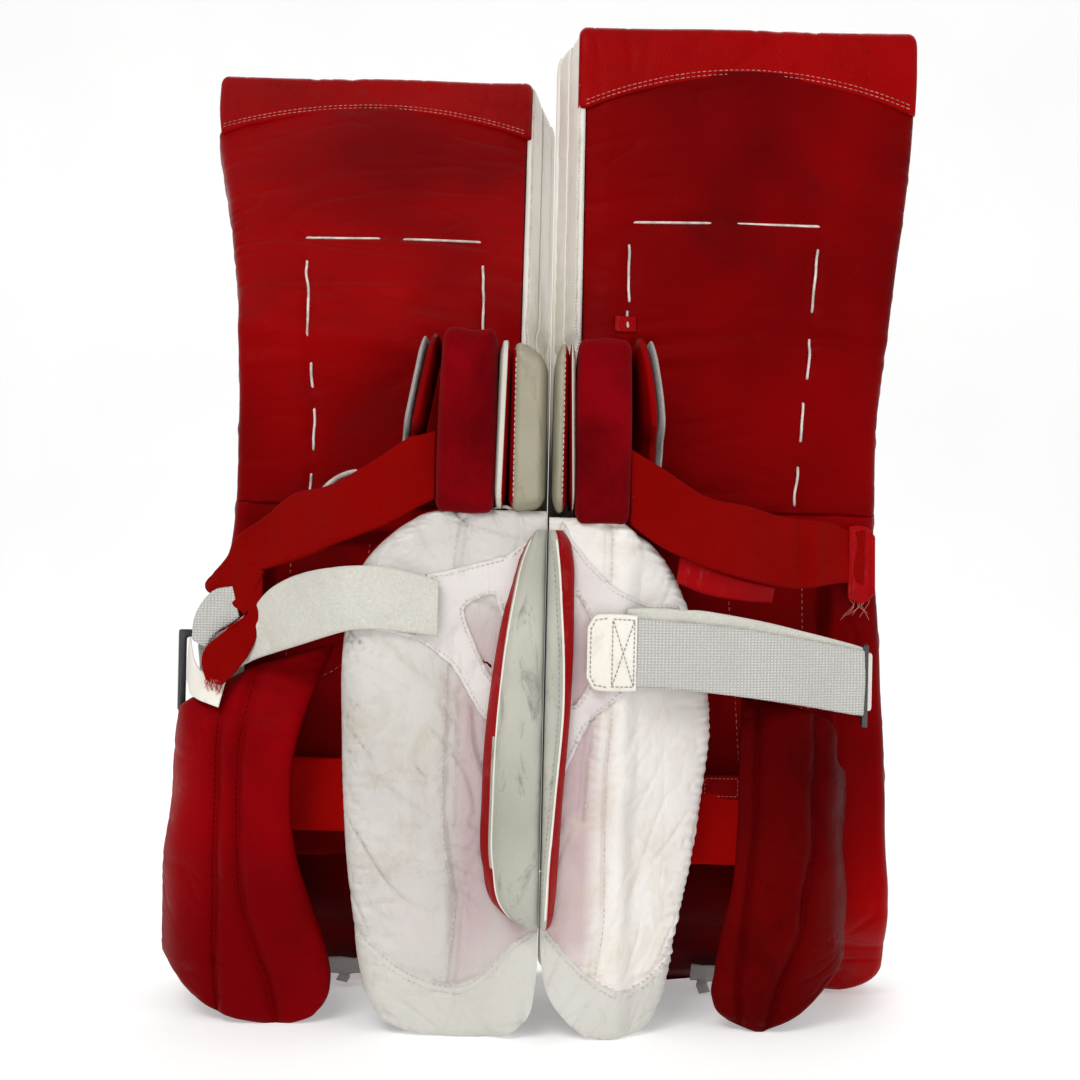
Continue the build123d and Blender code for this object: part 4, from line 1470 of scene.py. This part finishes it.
def knee_pads(side):
    if side == "right":
        outer, leaf, block = (2.0, 14.0), (14.2, 19.0), (19.4, 60.5)
        wing, felt = (61.5, 72), (72.2, 75.4)
    else:
        outer, leaf, block = (2.0, 30), (31, 39.4), (40, 83)
        wing, felt = (84, 94), (94.2, 97.4)

    def place(ob, node):
        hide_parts(side + "_knee_" + node)
        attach(ob, side + "_stack")

    def cut(p):
        """The pad's top inner corner slopes off, and its inner side bulges."""
        k = np.clip((outer[1] - 3 - p[0]) / (outer[1] - outer[0]), 0, 1)
        hi = step((p[2] - 470) / 47.0)
        lo = step((425 - p[2]) / 35.0)
        return p + np.array([0, 0, -17.0 * k**1.6 * hi + 5.0 * k**2 * lo])

    r = np.array([8.0, 18.0, 10.0]) if side == "left" else np.array([6.5, 18.0, 12.0])
    a = rounded(side + "_knee_pad_outer", (outer[0] + 0.4, -120.5, 392), (outer[1] - 0.4, -26, 518),
                r, side, [M["scuffed_knee"], M["red_edge"]], puff=(0.3, 1.6, 1.0), form=cut,
                pick=lambda q, n: 1 if n[0] > 0.8 and q[0] > outer[1] - 4 else 0)
    place(a, "outer")

    def blade(p):
        k = np.clip((p[2] - 390) / 128.0, 0, 1)
        back = np.clip((-60 - p[1]) / 60.0, 0, 1)
        return p + np.array([back * (3.4 * (1 - k) - 1.5), 0, 0])

    b = rounded(side + "_knee_pad_leaf", (leaf[0] + 0.3, -119.5, 394), (leaf[1] - 0.3, -26, 519),
                np.array([2.8, 16.0, 18.0]), side, [M["leaf"], M["red_edge"]], puff=(0.6, 0.6, 0.6),
                form=blade, pick=lambda q, n: 1 if n[0] < -0.8 else 0)
    place(b, "leaf")

    tall = 526.0 if side == "left" else 521.0
    foot = 390.5 if side == "left" else 384.5

    def lumpy(p):
        k = (p[2] - 455) / 65.0
        w = 1.1 * float(waves(p[0] * 1.4, p[2], 52, 51 if side == "left" else 53))
        w = w - 1.2 * float(folds(p[0], p[2], 34, 57, 2.4, 70, 0.25))
        lateral = np.clip((p[0] - block[0]) / (block[1] - block[0]), 0, 1)
        dx = 1.2 * (1 - k * k) * (lateral - 0.5) * 2 + (1.6 if side == "left" else 0.6) * -k * lateral
        dz = float(waves(p[0], 0 * p[0], 40, 58)) * (1.0 if p[2] > 500 else 0.4)
        dy = -w * 0.7 if p[1] < -95 else 0.0
        return p + np.array([dx, dy, dz])

    # The block's outward side face uses the dark copy of the red cloth: painted shade.
    c = rounded(side + "_knee_pad_block", (block[0] + 0.8, -119, foot), (block[1] - 1.0, -27, tall),
                np.array([5.0, 8.0, 8.0]), side, [M["suede"], M["wrap_red_shaded"]], puff=(0.4, 2.2, 0.8),
                pick=lambda q, n: 1 if n[0] > 0.8 and q[1] > -108 else 0, form=lumpy, cuts=44)
    place(c, "block")

    def fanned(p):
        k = np.clip((524 - p[2]) / 112.0, 0, 1)
        if side == "left":
            push = 21.0 * k - 1.5
            bow = 0.0
        else:
            push = 3.0 * k
            bow = 9.0 * math.sin(math.pi * min(k * 0.8, 1)) * np.clip((-70 - p[1]) / 40.0, 0, 1)
        tuck = 26.0 * step((462 - p[2]) / 18.0) * np.clip((-60 - p[1]) / 50.0, 0, 1)
        return p + np.array([push + bow, tuck, 0])

    d = rounded(side + "_knee_pad_wing", (wing[0] - 0.4, -112, 401), (wing[1] - 0.2, -41, 524),
                np.array([4.5, 20.0, 20.0]), side, [M["nylon"]], puff=(0.3, 0.8, 0.8), form=fanned, cuts=34)
    place(d, "wing")
    e = rounded(side + "_knee_loop_strip", (felt[0] - 0.6, -110.5, 408), (felt[1] + 1.2, -53, 522),
                np.array([2.2, 16.0, 16.0]), side, [M["felt"]], puff=(0.1, 0.4, 0.3), form=fanned, cuts=34)
    place(e, "loop_strip")
    # seam down the rear face of the outer pad
    z = np.linspace(402, 506, 60)
    st = sewn_line(side + "_knee_outer_seam_0", bvh(a), np.stack([np.full(60, outer[1] - 4.0), z], 1), side,
    0.1, M["thread_white"], 4.0, 2.8, 0.36)
    if st:
        sewn(st, side + "_stack")


# ----------------------------------------------------------------- straps


def across_swing(ob, side):
    x = 84 if side == "right" else 98
    joined(ob, side, [x + 2, -95, 400], [x + 66, -60, 380])


def knee_straps():
    side = "left"
    top = [(85.0, -103.5, 450.7), (98, -104, 447), (107.1, -103.0, 444.2), (145.1, -98.6, 419.0),
           (167.4, -86.5, 408.1), (194.9, -68.3, 402.5), (218.5, -53.0, 385.0), (240.5, -43.5, 369.4),
           (252.5, -39.0, 350.0), (261, -37, 339), (266.5, -36.0, 331.5), (266, -36.5, 328.0)]
    bot = [(85.0, -103.5, 399.8), (100, -103, 392), (124.5, -100.9, 378.5), (160, -91, 364),
           (185.3, -76.7, 353.4), (212, -60.2, 345.0), (232, -52, 339), (246, -47, 334.5),
           (257, -41.5, 330.5),
           (262.5, -38.5, 328.0), (264.5, -37.5, 326.5)]

    def ripple(p):
        return 1.1 * waves(p[..., 0], p[..., 2], 60, 81) - 0.8 * folds(p[..., 0], p[..., 2], 30, 83, 2, 60,
        0.3)

    ob = ribbon("left_elastic_strap", top, bot, 3.4, side, [M["elastic"]], 130, 26, ripple)
    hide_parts("left_knee_strap")
    across_swing(ob, side)
    # the spare end folds back at the pad's edge, turns again and hangs down
    def twist(p):
        return 0.9 * waves(p[..., 0], p[..., 2], 26, 85)

    upper = [(265.8, -36.5, 329), (264.5, -41, 325.5), (258, -48, 321.5), (248, -54.5, 317.5),
    (238, -60, 313), (231.5, -63, 308.5)]
    inner = [(262, -34.5, 338), (256, -39, 343), (246, -43, 347), (236, -48.5, 348), (226, -54.5, 346),
    (217.5, -59.5, 342)]
    ob = ribbon("left_elastic_strap_return", upper, inner, 3.0, side, [M["elastic"]], 70, 22, twist)
    sewn(ob, "left_shin")
    a = [(231.5, -63.5, 309.5), (231.0, -66, 305), (237, -66.5, 300.5), (246, -65.5, 295), (256, -64, 288),
    (262, -65, 280), (262.5, -71, 270), (258, -77, 259)]
    b = [(218.5, -60.5, 338), (217.8, -64.0, 322), (218.5, -66.5, 306), (221.5, -67.5, 290),
    (227, -67, 278), (234, -70, 268), (240, -75, 261), (245, -78, 255.6)]
    ob = ribbon("left_elastic_strap_tail", a, b, 3.0, side, [M["elastic"]], 90, 26, twist)
    sewn(ob, "left_shin")
    # a loose piece of open mesh hangs out between the folds
    a = [(243, -56, 330), (256, -55, 327), (267, -54.5, 316), (273, -54, 300), (274, -54, 288)]
    b = [(236, -60, 306), (245, -58, 300), (252, -57, 296), (258, -56.5, 290), (262, -56, 282)]
    ob = ribbon("left_mesh_layer", a, b, 1.6, side, [M["webbing"]], 50, 20, twist)
    sewn(ob, "left_shin")
    a, b = [(258, -77, 259)], [(245, -78, 255.6)]
    bm_lines = []
    r = np.random.default_rng(5)
    for i in range(26):
        s = (i + 0.5) / 26
        p = np.array(a[-1]) * (1 - s) + np.array(b[-1]) * s + r.uniform(-0.6, 0.6, 3)
        tip = p + np.array([r.uniform(-3, 4), r.uniform(-2, 2), r.uniform(-9, -3)])
        mid = (p + tip) / 2 + r.uniform(-1.4, 1.4, 3)
        bm_lines.append(spline([p + [0, 0, 2], mid, tip], 7))
    for i, line in enumerate(bm_lines):
        t = tube(f"left_strap_fray_{i}", line, 0.22, side, M["thread_red"] if i % 3 else M["thread_pink"], 5)
        sewn(t, "left_shin")

    side = "right"
    top = [(61, -109, 440), (70, -109, 434.5), (82.0, -106.9, 428), (101.2, -103.0, 415.8),
    (121.3, -99.5, 405.2),
           (151.6, -83.8, 400.1), (179.3, -65.6, 393.5), (211.6, -45.8, 390.5), (225.4, -37.4, 389.0),
           (234.7, -31.5, 384.8), (250, -26, 384)]
    bot = [(61.5, -109, 384), (72, -108.5, 376), (86, -106, 367), (102.5, -102.8, 359.8), (130, -93, 350),
    (163.7, -75.8, 342.0),
           (191.6, -57.5, 337.7), (214, -44, 340), (236.9, -32.2, 342.6), (250, -27, 340)]

    def ripple2(p):
        lump = -3.0 * np.exp(-(((p[..., 0] - 197) / 5.0) ** 2)) + 2.5 * np.exp(-(((p[...,
        0] - 208) / 7.0) ** 2))
        return lump + 1.0 * waves(p[..., 0], p[..., 2], 55, 87)

    ob = ribbon("right_elastic_strap", top, bot, 3.4, side, [M["elastic"]], 130, 26, ripple2)
    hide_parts("right_knee_strap")
    across_swing(ob, side)
    under_top = [(100, -97, 362), (125, -88, 352), (150, -76, 344), (176, -60, 339)]
    under_low = [(98, -94, 341), (122, -86, 332), (148, -74, 328), (174, -58, 326)]
    ob = ribbon("right_strap_keeper", under_top, under_low, 2.2, side, [M["red_edge"]], 60, 14)
    across_swing(ob, side)
    # stitched leather end tab on the pad's edge
    tab_t = [(238, -31.4, 387), (246, -27.5, 388), (254, -25.0, 386), (259.5, -23.6, 380)]
    tab_b = [(238, -31.4, 330), (246, -27.5, 327), (254, -25.0, 328), (260.5, -23.6, 334)]
    ob = ribbon("right_strap_end_tab", tab_t, tab_b, 2.4, side, [M["red_edge"]], 40, 40)
    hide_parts("right_hook_tab")
    sewn(ob, "right_shin")
    tree = bvh(ob)
    frame_line = [(241, 384), (257, 383), (258, 333), (241, 333), (241, 384), (257, 333)]
    st = sewn_line("right_end_tab_stitch", tree, even(frame_line, 90), side, 0.2, M["thread_red"], 3.2, 2.4,
    0.4)
    sewn(st, "right_shin")
    for i in range(8):
        x0, z0 = r.uniform(238, 258), 331 + r.uniform(-2, 2)
        p = np.array([x0, -24.5, z0])
        line = spline([p, p + [r.uniform(-5, 5), -2.0, r.uniform(-9, -3)],
        p + [r.uniform(-10, 8), -1.0, r.uniform(-18, -9)]], 12)
        t = tube(f"right_loose_thread_{i}", line, 0.2, side, M["thread_pink"], 5)
        sewn(t, "right_shin")


def calf_straps():
    side = "left"
    top = [(79.5, -119.8, 339.3), (100, -119.8, 345), (121.4, -119.8, 348.9), (150, -116, 348.5),
           (182.4, -95.5, 342.4), (208.7, -74.7, 330.5), (226, -64, 314), (244, -54.2, 300),
           (258, -48, 291), (270, -45.5, 284)]
    bot = [(79.5, -119.8, 297.9), (105, -119.8, 301), (130.7, -119.6, 302.4), (151.4, -116.5, 299.4),
           (189.5, -89.9, 286.3), (210, -74, 279), (224.9, -64.0, 273.0), (244, -54.3, 263),
           (258, -48, 257), (268, -45.5, 252)]

    def ripple(p):
        return 0.9 * waves(p[..., 0], p[..., 2], 60, 101) - 1.0 * folds(p[..., 0], p[..., 2], 40, 103, 2.5,
        70, 0.25)

    ob = ribbon("left_calf_band", top, bot, 3.2, side, [M["pile"], M["webbing"]], 150, 30, ripple)
    for poly in ob.data.polygons:
        c = drawn(poly.center, side)
        poly.material_index = 1 if c[0] > 256 else 0
    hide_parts("left_calf_strap")
    across_seam(ob, side)

    side = "right"
    top = [(52.5, -119.6, 314.8), (67.7, -118.6, 314.8), (90, -114, 313), (112.8, -109.2, 311.7),
    (150, -99, 307.5),
           (195, -80, 300.5), (235.1, -62.4, 293.2), (247, -56.0, 291)]
    bot = [(52.5, -119.6, 263.8), (68.8, -118.5, 263.8), (90, -114, 263), (111.6, -109.2, 260.9),
    (150, -99, 256.5),
           (195, -80, 249.5), (233.8, -62.6, 242.4), (247, -56.0, 240.5)]

    def small(p):
        return 0.5 * waves(p[..., 0], p[..., 2], 60, 107)

    ob = ribbon("right_calf_webbing", top, bot, 2.6, side, [M["webbing"]], 150, 26, small)
    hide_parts("right_calf_strap")
    across_seam(ob, side)
    # the far end turns round the ring and comes back just above
    top = [(60.1, -115.6, 321.5), (80, -113.5, 322.5), (102.8, -107.8, 321.2), (120.1, -104.4, 320.5),
    (162.1, -91.3, 313.5),
           (200, -75, 305), (235.0, -59.4, 296.5), (247, -53.0, 293)]
    low = [(60.1, -115.6, 300), (80, -113.5, 300), (102.8, -107.8, 298), (120.1, -104.4, 297),
    (162.1, -91.3, 290),
           (200, -75, 283), (235.0, -59.4, 275), (247, -53.0, 272)]
    ob = ribbon("right_calf_webbing_return", top, low, 2.2, side, [M["pile"]], 120, 16, small)
    across_seam(ob, side)
    tree_in = ribbon("right_strap_patch_panel", [(31, -119.8, 308), (36, -120.2, 316), (44, -120.5, 317.5),
    (58, -120.9, 317.5), (67.5, -120.6, 316.8)],
                     [(31, -119.8, 270), (36, -120.2, 262), (44, -120.5, 260.5), (58, -120.9, 260.5),
                     (67.5, -120.6, 261.2)],
                     2.2, side, [M["white"]], 50, 40)
    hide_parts("right_strap_patch")
    across_seam(tree_in, side)
    tree = bvh(tree_in)
    box_x = [(49.5, 314), (65.5, 313.4), (65.5, 264.2), (49.5, 264), (49.5, 314), (65.5, 264.2)]
    for k, line in enumerate((box_x, [(65.5, 313.4), (49.5, 264)],
    [(46, 314.5), (37, 313), (33.5, 306), (33.5, 272), (37, 265), (46, 263.5)])):
        st = sewn_line(f"right_patch_stitch_{k}", tree, even(line, 80), side, 0.25, M["thread_grey"], 3.4,
        2.5, 0.42)
        if st:
            across_seam(st, side)


def fittings(side):
    """Ring tab, ring, toe bridge, liner and the elastic inside the leg channel."""
    frame["nodes"][side + "_strap_ring"].data.materials.clear()
    frame["nodes"][side + "_strap_ring"].data.materials.append(M["black"])
    bar = {"right": (252, -30), "left": (262, -30)}[side]
    rings = []
    z0, z1 = (236.0, 291.0) if side == "left" else (242.5, 287.5)
    for z in np.linspace(z0, z1, 36):
        c = edge_round(min(z - z0 + 0.2, z1 - z + 0.2), 3.0)
        half = 6.4 - 1.5 * (1 - c)
        if side == "left":
            pts = [(238.5, -19.5), (239, -22.4), (248, -25.5), (254, -33), (258, -36.0), (bar[0], -36.8)]
            pts += [(266.5, -35.6), (268.8, -31), (267, -25.5), (262, -22), (254, -19.2)]
        else:
            pts = [(bar[0] - half, -20.2), (bar[0] - half, -31), (bar[0] - half * 0.75, -35.2),
            (bar[0], -36.4)]
            pts += [(bar[0] + half * 0.75, -35.2), (bar[0] + half, -31), (bar[0] + half, -20.2)]
        line = spline(pts, 48)
        rings.append(np.column_stack([line, np.full(48, z)]))
    ob = loft(side + "_ring_loop", np.array(rings), side, [M["white"]])
    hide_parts(side + "_ring_tab")
    tree = bvh(ob)
    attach(ob, side + "_shin")
    if side == "left":
        for k, line in enumerate(([(242, 288), (242, 239)], [(246.5, 288), (246.5, 239)])):
            st = sewn_line(f"left_ring_loop_stitch_{k}", tree, even(line, 40), side, 0.2, M["thread_white"],
            4.0, 2.8, 0.4)
            sewn(st, "left_shin")
    # liner on the floor of the leg channel
    n = 60
    x = np.linspace(66, 224, n)
    z = np.linspace(114, 371, 90)
    X, Z = np.meshgrid(x, z)
    d = np.minimum(np.minimum(X - 65, 225 - X), np.minimum(Z - 113, 372 - Z))
    h = 1.9 * edge_round(d, 3.0)
    w = 0.5 * waves(X, Z, 70, 111) - 0.7 * folds(X, Z, 40, 113, 2.5, 20, 0.25)
    rear = np.stack([X, -2.0 - h - w - 0.2, Z], 2)
    front = np.stack([X, -2.0 + h, Z], 2)
    ob = shell(side + "_channel_liner", rear, front, side, [M["liner"]])
    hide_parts(side + "_shin_liner")
    sewn(ob, side + "_shin")
    tree = bvh(ob)
    for k, line in enumerate(([(142, 366), (150, 300), (158, 196)], [(120, 300), (170, 262), (215, 240)],
    [(205, 364), (208, 260), (204, 140)])):
        st = sewn_line(f"{side}_liner_stitch_{k}", tree, even(line, 90), side, 0.1, M["thread_pink"], 5.0,
        3.0, 0.4)
        sewn(st, side + "_shin")
    lo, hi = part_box(side + "_inner_strap")
    a, b = drawn(lo, side), drawn(hi, side)
    x0, x1 = min(a[0], b[0]), max(a[0], b[0])
    y0 = min(a[1], b[1])
    z0, z1 = lo[2] * 1000, hi[2] * 1000
    if side == "left":
        z0, z1 = z0 + 20.0, z1 + 20.0
    top = [(x0 + 1, y0 + 8, z1 - 1), (x0 + 12, y0 + 3.0, z1), (145, y0 + 1.5, z1 - 1.5),
    (x1 - 12, y0 + 3.0, z1), (x1 - 1, y0 + 8, z1 - 1)]
    bot = [(x0 + 1, y0 + 8, z0 + 1), (x0 + 12, y0 + 3.0, z0), (145, y0 + 1.5, z0 - 1),
    (x1 - 12, y0 + 3.0, z0), (x1 - 1, y0 + 8, z0 + 1)]
    # The heel elastic takes the brighter copy of the red elastic, which is painted light against the shade
    # of the leg channel.
    ob = ribbon(side + "_heel_elastic", top, bot, 3.0, side, [M["elastic_lit"]], 120, 22,
    lambda p: 0.6 * waves(p[..., 0], p[..., 2], 50, 121))
    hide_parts(side + "_inner_strap")
    sewn(ob, side + "_shin")
    top = [(126, y0 + 1.2, z1 + 12), (140, y0 + 0.6, z1 + 12), (158, y0 + 1.2, z1 + 12)]
    bot = [(126, y0 + 1.2, z1 - 7), (140, y0 + 0.6, z1 - 7), (158, y0 + 1.2, z1 - 7)]
    ob = ribbon(side + "_heel_elastic_tab", top, bot, 2.0, side, [M["red_edge"]], 40, 20)
    sewn(ob, side + "_shin")
    tree = bvh(ob)
    st = sewn_line(side + "_heel_tab_stitch", tree,
    even([(129, z1 + 9.5), (155, z1 + 9.5), (155, z1 - 4.5), (129, z1 - 4.5), (129, z1 + 9.5)], 70), side,
    0.15, M["thread_pink"], 3.2, 2.2, 0.35)
    if st:
        sewn(st, side + "_shin")
    toe_tie(side)


def toe_tie(side):
    """Grey web loop on the boot that the skate's toe tie goes through."""
    lo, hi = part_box(side + "_toe_bridge")
    a, b = drawn(lo, side), drawn(hi, side)
    x0, x1 = min(a[0], b[0]), max(a[0], b[0])
    z0, z1 = lo[2] * 1000, hi[2] * 1000
    y0, y1 = a[1], b[1]

    def at(x, f, out):
        """f from the lower (0) to the upper (1) edge of the bridge."""
        return (x, y1 - (y1 - y0) * f - out * 0.8, z0 + (z1 - z0) * f - out * 0.2)

    xs = np.linspace(x0 + 1.5, x1 - 1.5, 9)
    arch_out = 2.5 * np.sin(np.linspace(0, math.pi, 9)) ** 0.7
    top = [at(x, 0.86, o) for x, o in zip(xs, arch_out)]
    low = [at(x, 0.22, o) for x, o in zip(xs, arch_out)]
    ob = ribbon(side + "_toe_loop", top, low, 2.4, side, [M["felt"]], 70, 20,
    lambda p: 0.4 * waves(p[..., 0], p[..., 2], 20, 131))
    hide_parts(side + "_toe_bridge")
    sewn(ob, side + "_boot")
    mid = (x0 + x1) / 2
    for k, (dx, length) in enumerate(((-14, 11), (9, 8))):
        p = np.array(at(mid + dx, 0.3, 2.0))
        line = [p, p + [-1.0, -1.5, -length * 0.4], p + [1.5, -1.0, -length]]
        off = np.array([4.5, 0, 1.0])
        tie = ribbon(f"{side}_toe_tie_{k}", [q - off for q in line], [q + off for q in line], 1.4, side,
        [M["felt"]], 30, 12)
        sewn(tie, side + "_boot")


def lace_ends():
    """Bits of lace that show beside the left knee strap and above its calf pad."""
    lines = {
        "knee_a": ([(151, -24.5, 422), (158, -27, 420.5), (166, -28, 417), (173, -27, 412),
        (179, -24, 406)], 2.1),
        "top_a": ([(44, -96, 391.5), (38, -101, 394.5), (31, -103, 395), (24, -101, 391)], 1.3),
        "top_b": ([(30, -99, 392), (24, -104, 395.5), (17, -105, 395), (11, -102, 391.5)], 1.3),
    }
    for name, (pts, radius) in lines.items():
        ob = tube("left_lace_end_" + name, spline(pts, 30), radius, "left", M["lace"])
        sewn(ob, "left_shin")


def red_tab(tree):
    """Small sewn tab above the knee pads of the right pad."""
    outline = [(50, 550), (67, 550), (67, 537), (50, 537)]
    pts = even(outline + outline[:1], 60)[:-1]
    ob = drape("right_lace_tab", pts, tree, "right", [M["red_edge"]], 0.2, 1.4, gap=3.0)
    sewn(ob, "right_thigh")



for side in ("right", "left"):
    lining_tree = upper_body(side)
    lower_body(side)
    front_skins(side)
    side_wall(side)
    top_cap(side)
    laces(side)
    yoke(side, calf_pad(side))
    wedge(side)
    outer_wrap(side)
    knee_pads(side)
    fittings(side)
    if side == "right":
        red_tab(lining_tree)
knee_straps()
calf_straps()
lace_ends()

# ------------------------------------------------------------------ stage


def studio():
    m = Mat("floor_paper", 0.85, spec=0.2)
    m.colour(m.mix(m.ramp(m.noise(2.0, 3), [(0.3, 0), (0.7, 1)]), (0.80, 0.80, 0.80), (0.84, 0.84, 0.84)))
    m.bump(m.noise(260, 3), 0.05, 0.0004)
    m.b.inputs["Emission Color"].default_value = (1, 1, 1, 1)
    m.b.inputs["Emission Strength"].default_value = 0.32
    bm = bmesh.new()
    rows = []
    prof = [(-4.0, 0.0), (2.4, 0.0)]
    prof += [(2.4 + 1.2 * math.sin(a), 1.2 - 1.2 * math.cos(a)) for a in np.linspace(0.1, math.pi / 2, 16)]
    prof += [(3.6, 5.0)]
    for y, z in prof:
        rows.append([bm.verts.new((x, y, z)) for x in np.linspace(-6, 6, 13)])
    for r0, r1 in zip(rows[:-1], rows[1:]):
        for i in range(12):
            bm.faces.new((r0[i], r0[i + 1], r1[i + 1], r1[i]))
    floor = finish_mesh("floor", bm, [m.m])
    if floor.data.polygons[0].normal.z < 0:
        floor.data.flip_normals()

    def area(name, at, look, size, power, tint=(1, 1, 1)):
        light = bpy.data.lights.new(name, "AREA")
        light.shape = "RECTANGLE"
        light.size, light.size_y = size
        light.energy = power
        light.color = tint
        ob = bpy.data.objects.new(name, light)
        ob.location = at
        ob.rotation_euler = (Vector(look) - Vector(at)).to_track_quat("-Z", "Y").to_euler()
        bpy.context.collection.objects.link(ob)

    area("key", (-0.9, -2.2, 2.5), (0, 0, 0.4), (1.5, 1.1), 44, (1.0, 0.985, 0.96))
    area("fill", (2.0, -1.9, 1.2), (0, 0, 0.4), (1.6, 1.6), 13)
    area("low", (0.0, -2.4, 0.5), (0, 0, 0.35), (2.4, 0.9), 7)
    area("rim", (0.3, 1.9, 2.6), (0, 0, 0.5), (2.5, 1.2), 22)
    world_node = bpy.data.worlds.new("studio")
    world_node.use_nodes = True
    bg = world_node.node_tree.nodes["Background"]
    bg.inputs["Color"].default_value = (1, 1, 1, 1)
    bg.inputs["Strength"].default_value = 0.5
    bpy.context.scene.world = world_node
    cam = bpy.data.cameras.new("camera")
    cam.sensor_width = 36
    cam.lens = 57.87
    ob = bpy.data.objects.new("camera", cam)
    ob.location = (-0.0056, -1.4247, 0.371)
    ob.rotation_euler = (math.radians(90), math.radians(CAM_ROLL), 0)
    bpy.context.collection.objects.link(ob)
    bpy.context.scene.camera = ob
    bpy.context.scene.view_settings.view_transform = "Standard"


CAM_ROLL = -1.27
studio()
